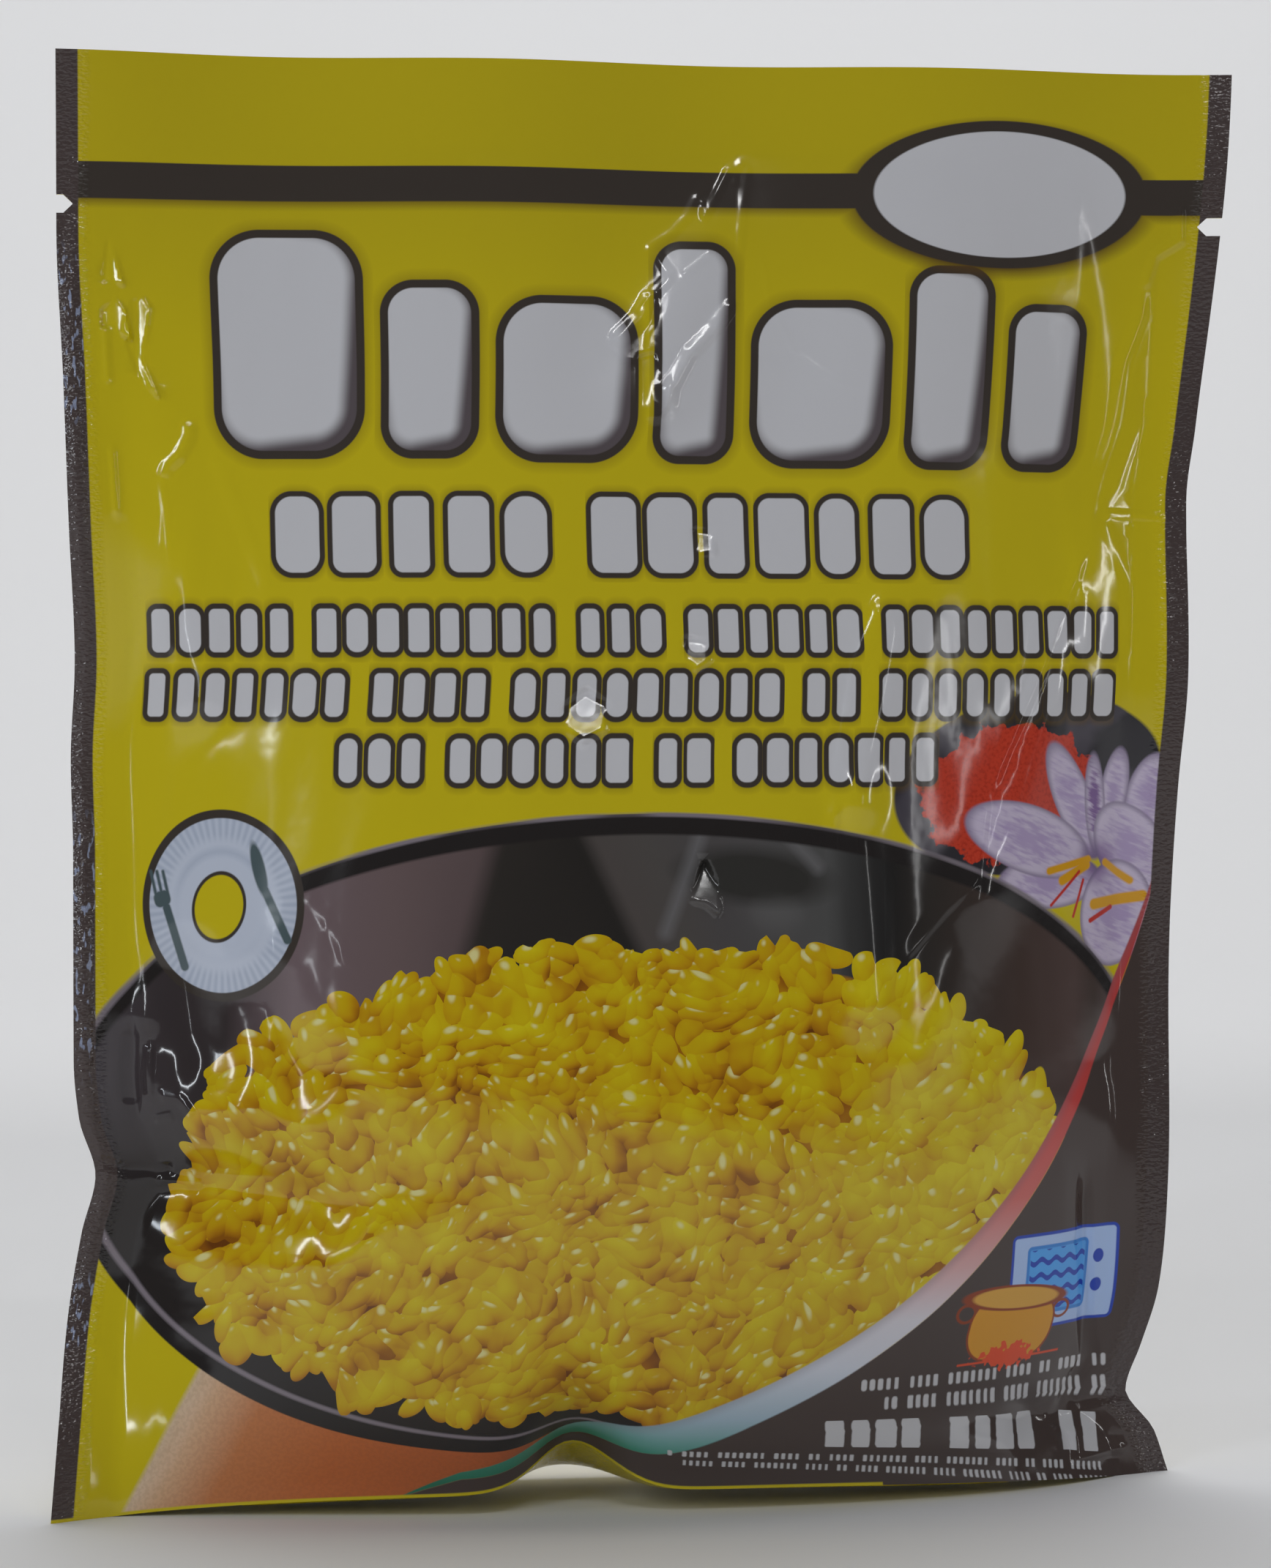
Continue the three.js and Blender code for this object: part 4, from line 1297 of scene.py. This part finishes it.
def front_print(press, point, zone):
    """The inks of one zone of the front panel, from the ground up."""

    def holds(from_s, from_h, to_s, to_h):
        beside = from_s < zone[2] + 1 and to_s > zone[0] - 1
        return beside and from_h < zone[3] + 1 and to_h > zone[1] - 1

    own = press.split(point)
    s, h = own[0], own[1]
    colour = ground(press, h)
    if holds(-84, 0, 10, 40):
        past = press.side_of(point, (-62.8, 19.0), 62)
        cloth = press.tints(past, CLOTH_TONES)
        weave = press.between(press.noise(point, 0.6)[0], 0.35, 0.65, 0.0, 0.12)
        cloth = press.lay(cloth, ink(132, 72, 44), weave)
        below = press.both(press.times(past, -1.0), press.minus(h, 40.0))
        colour = press.stamp(colour, cloth, below, 0.8)
    if holds(33, 73, 84, 114):
        colour = flower(press, point, colour)
    if holds(-86, 5, 84, 98):
        colour = dish(press, point, s, h, colour, holds(-10, 80, 30, 98))
        if holds(-75, 7, 72, 86):
            colour = rice(press, point, colour)
    if holds(-36, 0, 84, 90):
        colour = swoosh(press, point, s, h, colour)
    if holds(-75, 69, -47, 98):
        colour = badge(press, point, colour)
    if holds(46, 17, 77, 38):
        colour = cooking_signs(press, point, colour)
    rows = [row for row in TITLE_ROWS if holds(-84, row[0] - 7, 84, row[0] + 7)]
    if rows:
        small = word_blocks(press, s, h, rows, 0.52)
        colour = press.lay(colour, SOFT_SHADE, press.times(press.inside(small, 1.4, 1.1), 0.5))
        colour = press.ring(colour, WHITE, DARK, small, 0.75)
    if holds(-63, 141, 66, 178):
        big, slope = headline_blocks(press, s, h)
        colour = press.lay(colour, SOFT_SHADE, press.times(press.inside(big, 2.4, 1.6), 0.55))
        edge = press.between(press.scaled(slope, 1.2, big), -1.6, 1.0, 0.0, 0.95)
        cushion = press.lay(WHITE, ink(84, 72, 76), edge)
        colour = press.ring(colour, cushion, DARK, big, 1.15)
    if holds(3, 0, 84, 20):
        slant = press.times(press.between(h, 4.0, 18.0, 0.085, 0.0), press.minus(s, 20.0))
        shares = [(height, (outline_lean(height),)) for height in LEAN_HEIGHTS]
        leans = press.packed(h, shares, LEAN_SPAN, steps=False)
        (lean,) = press.unpacked(leans, LEAN_SPAN)
        upright = press.scaled(lean, press.plus(s, -LEAN_FOOT), s)
        weight = letter_blocks(press, upright, press.plus(h, slant), WEIGHT_ROWS, 0.2)
        colour = press.stamp(colour, TEXT_GREY, weight, 0.2)
    if holds(-84, 170, 84, 195):
        oval = press.ellipse(point, OVAL_PLACE, OVAL_SIZE)
        under_band = press.minus(BAND_LOW, h)
        fall = press.nearest(
            press.both(under_band, press.minus(h, 183.0)),
            press.minus(press.ellipse(point, (50.0, 181.8), OVAL_SIZE), 1.4),
        )
        colour = press.stamp(colour, ink(96, 70, 30), fall, 2.0, 0.4)
        band = press.both(under_band, press.minus(h, BAND_HIGH))
        band = press.nearest(band, press.minus(oval, 1.5))
        colour = press.stamp(colour, DARK, band)
        colour = press.stamp(colour, WHITE, oval)
    border_and_glints = BORDER
    if holds(-84, 147, -80, 175) or holds(-84, 58, -80, 97) or holds(-84, 21, -80, 33):
        # Painted highlights: pale blue glints, painted as small specks along parts of the left
        # weld, where its knurl would catch the light.
        glint_specks = press.noise(press.placed(point, (0, 0), 0, (1.0, 3.0)), 0.62, 1.0)[0]
        parts = [
            press.between(press.size_of(press.minus(h, middle)), far, near)
            for middle, far, near in ((161, 14, 8), (78, 20, 12), (27, 6, 3))
        ]
        painted_glints = press.times(press.between(glint_specks, 0.6, 0.7), press.both(*parts))
        painted_glints = press.times(painted_glints, press.maths("LESS_THAN", s, 0.0))
        # The weld's ink, with the painted glints laid over it.
        border_and_glints = press.lay(BORDER, ink(150, 158, 184), painted_glints)
    colour = press.stamp(colour, border_and_glints, side_welds(press, s), 0.2)
    if holds(-84, 0, 35, 1):
        fold = press.both(press.minus(h, 0.45), press.minus(s, 35.0))
        colour = press.stamp(colour, YELLOW, fold, 0.2)
    return colour


def back_print(press, point):
    """The plain inks of the back panel and the base."""
    own = press.split(press.placed(point, (BACK_OFFSET, 0.0)))
    s, h = own[0], own[1]
    colour = ground(press, h)
    here = press.pair(s, h)
    card = press.bar(here, (-26.0, 88.0), (90.0, 128.0), 4.0)
    colour = press.ring(colour, WHITE, DARK, card, 0.7)
    words = letter_blocks(press, s, h, BACK_ROWS, 0.25)
    colour = press.stamp(colour, ink(90, 80, 78), words, 0.2)
    table = press.bar(here, (50.0, 112.0), (48.0, 80.0), 4.0)
    colour = press.ring(colour, WHITE, DARK, table, 0.7)
    rule = press.maths("PINGPONG", press.plus(h, 2.0), 4.0)
    rules = press.both(press.minus(3.75, rule), press.plus(table, 3.0))
    colour = press.stamp(colour, BROWN, rules, 0.2)
    field = press.bar(here, (50.0, 46.0), (48.0, 40.0), 4.0)
    colour = press.ring(colour, BROWN, DARK, field, 0.7)
    band = press.both(press.minus(BAND_LOW, h), press.minus(h, BAND_HIGH))
    colour = press.stamp(colour, DARK, band)
    edged = press.stamp(colour, BORDER, side_welds(press, s), 0.2)
    return press.lay(YELLOW, edged, press.maths("GREATER_THAN", h, 0.4))


FILM_MIDDLES = ((BACK_OFFSET, 0.0, 0.0), (0.0, 0.0, 0.0))  # back, front
FILM_ROUGHNESS, FILM_IOR = 0.10, 1.55
RIPPLE_DEPTH = 0.000014  # metres
WELD_KNURL = 12.0  # how much rougher the side welds are than the panels


def film_material(name, draw_print, *zone):
    film = bpy.data.materials.new(name)
    film.use_nodes = True
    press = Press(film)
    film_place = press.node("ShaderNodeUVMap", uv_map="film").outputs[0]
    press.fill(press.shader.inputs["Base Color"], draw_print(press, film_place, *zone))
    press.shader.inputs["Roughness"].default_value = FILM_ROUGHNESS
    press.shader.inputs["IOR"].default_value = FILM_IOR
    ripple = press.noise(film_place, 2.6, 1.0)[0]
    own = press.vector("SUBTRACT", film_place, FILM_MIDDLES[zone != ()])
    own = press.split(press.vector("ABSOLUTE", own))
    knurl = press.noise(press.placed(film_place, (0, 0), 0, (1.0, 0.55)), 0.8, 1.0)[0]
    knurl = press.times(knurl, press.between(own[0], 77.6, 79.0, 0.0, WELD_KNURL))
    bump = press.node("ShaderNodeBump")
    bump.inputs["Strength"].default_value = 1.0
    bump.inputs["Distance"].default_value = RIPPLE_DEPTH
    press.fill(bump.inputs["Height"], press.plus(ripple, knurl))
    press.fill(press.shader.inputs["Normal"], bump.outputs[0])
    return film


# ---------------------------------------------------------------- stage
CAMERA_YAW, CAMERA_PITCH = math.radians(-7.54), math.radians(-1.32)
CAMERA_DISTANCE, CAMERA_HEIGHT, CAMERA_ASIDE = 550.0, 112.324, -2.625
LENS = 90.3
SHEET_LENGTH, SHEET_WIDTH, SHEET_FRONT = 4.2, 6.0, -1.4  # metres
LAMP_AIM = (0, 0, 0.1)
# The lamps that creases mirror: azimuth, elevation, distance, size, columns and rows of points.
MIRRORED = {
    "tube": (0, 50, 1.1, (0.5, 0.03), 9, 3),
    "key": (2, 40, 1.1, (0.05, 0.05), 3, 3),
    "left_window": (-42, 25, 1.0, (0.035, 0.56), 1, 19),
    "left_slit": (-42, 3, 1.0, (0.01, 0.1), 1, 7),
    "right_window": (64, 11, 1.0, (0.017, 0.34), 1, 11),
    "right_slit": (40, 7, 1.0, (0.01, 0.22), 1, 11),
}


def camera_place():
    """Where the camera stands, mm."""
    x = math.sin(CAMERA_YAW) * CAMERA_DISTANCE + math.cos(CAMERA_YAW) * CAMERA_ASIDE
    y = -math.cos(CAMERA_YAW) * CAMERA_DISTANCE + math.sin(CAMERA_YAW) * CAMERA_ASIDE
    return np.array([x + film_shift[0], y, CAMERA_HEIGHT])


def camera():
    seen_from = bpy.data.cameras.new("camera")
    seen_from.lens = LENS
    seen_from.sensor_fit = "AUTO"
    seen_from.sensor_width = 36.0
    seen_from.clip_start, seen_from.clip_end = 0.01, 20
    held = bpy.data.objects.new("camera", seen_from)
    bpy.context.collection.objects.link(held)
    held.location = camera_place() * MM
    held.rotation_euler = (math.radians(90) + CAMERA_PITCH, 0, CAMERA_YAW)
    bpy.context.scene.camera = held


def lamp_way(azimuth, elevation):
    """The direction from the pouch to a lamp. Azimuth 0 is in front, 90 to the right."""
    turn, rise = math.radians(azimuth), math.radians(elevation)
    return np.array([
        math.sin(turn) * math.cos(rise), -math.cos(turn) * math.cos(rise), math.sin(rise)
    ])


def soft_light(name, azimuth, elevation, away, size, glow, aim=LAMP_AIM, tint=(1, 1, 1)):
    """A flat lamp. glow is how bright its face looks."""
    lamp = bpy.data.lights.new(name, "AREA")
    lamp.shape = "RECTANGLE"
    lamp.size, lamp.size_y = size
    lamp.energy = glow * math.pi * size[0] * size[1]
    lamp.color = tint
    held = bpy.data.objects.new(name, lamp)
    bpy.context.collection.objects.link(held)
    way = Vector(lamp_way(azimuth, elevation))
    held.location = Vector(aim) + way * away
    held.rotation_euler = way.to_track_quat("Z", "Y").to_euler()


def backdrop():
    """A pale sheet that lies flat, then sweeps up behind."""
    bpy.ops.object.select_all(action="DESELECT")
    bpy.ops.mesh.primitive_grid_add(x_subdivisions=2, y_subdivisions=48, size=1)
    sheet = bpy.context.object
    sheet.name = "backdrop"
    places = vertex_places(sheet.data)
    run = (places[:, 1] + 0.5) * SHEET_LENGTH
    bend_start, radius = 2.3, 0.5
    angle = np.clip((run - bend_start) / radius, 0, math.pi / 2)
    risen = np.maximum(run - bend_start - radius * math.pi / 2, 0)
    flat = np.minimum(run, bend_start)
    places[:, 0] *= SHEET_WIDTH
    places[:, 1] = SHEET_FRONT + flat + radius * np.sin(angle)
    places[:, 2] = radius * (1 - np.cos(angle)) + risen
    put_vertices(sheet.data, places)
    paper = bpy.data.materials.new("backdrop_paper")
    paper.use_nodes = True
    shader = paper.node_tree.nodes["Principled BSDF"]
    shader.inputs["Base Color"].default_value = ink(226, 226, 227)
    shader.inputs["Roughness"].default_value = 0.7
    sheet.data.materials.append(paper)
    bpy.ops.object.shade_smooth()


def mirrored_light(name, glow, tint=(1, 1, 1), taller=0.0):
    """A lamp that creases mirror. It can be taller than the face that they are aimed at."""
    azimuth, elevation, away, (wide, tall) = MIRRORED[name][:4]
    soft_light(name, azimuth, elevation, away, (wide, tall + taller), glow, tint=tint)


def lights():
    world = bpy.data.worlds.new("studio")
    bpy.context.scene.world = world
    world.use_nodes = True
    around = world.node_tree.nodes["Background"]
    around.inputs["Color"].default_value = (0.94, 0.97, 1.0, 1)
    around.inputs["Strength"].default_value = 0.11
    soft_light("ceiling", 170, 69, 1.3, (2.3, 0.9), 2.05)
    soft_light("wall_wash", 4, -5, 1.0, (2.6, 0.5), 2.8, (0.45, 1.4, 1.05))
    mirrored_light("tube", 20, taller=0.005)
    mirrored_light("key", 26)
    mirrored_light("left_window", 22, (0.9, 0.95, 1))
    mirrored_light("left_slit", 20, (0.9, 0.95, 1))
    soft_light("side_window", -74, 14, 1.0, (0.04, 0.36), 16, tint=(0.85, 0.92, 1))
    mirrored_light("right_window", 20)
    mirrored_light("right_slit", 12)


bpy.context.scene.view_settings.view_transform = "Standard"
film_shift = outline_shift()
front_creases = [lifted(*crease) for crease in FRONT_CREASES]
back_creases = [lifted(*crease) for crease in BACK_CREASES]
pouch = film_pouch()
put_vertices(pouch.data, vertex_places(pouch.data) + film_shift)
for notch in NOTCHES:
    cut(pouch, notch_cutter(*notch))
put_vertices(pouch.data, vertex_places(pouch.data) * MM)
print_zones(pouch)
select_only(pouch)
bpy.ops.object.shade_smooth_by_angle(angle=SMOOTH_ANGLE)
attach(pouch, "root")
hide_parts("pouch")
camera()
backdrop()
lights()
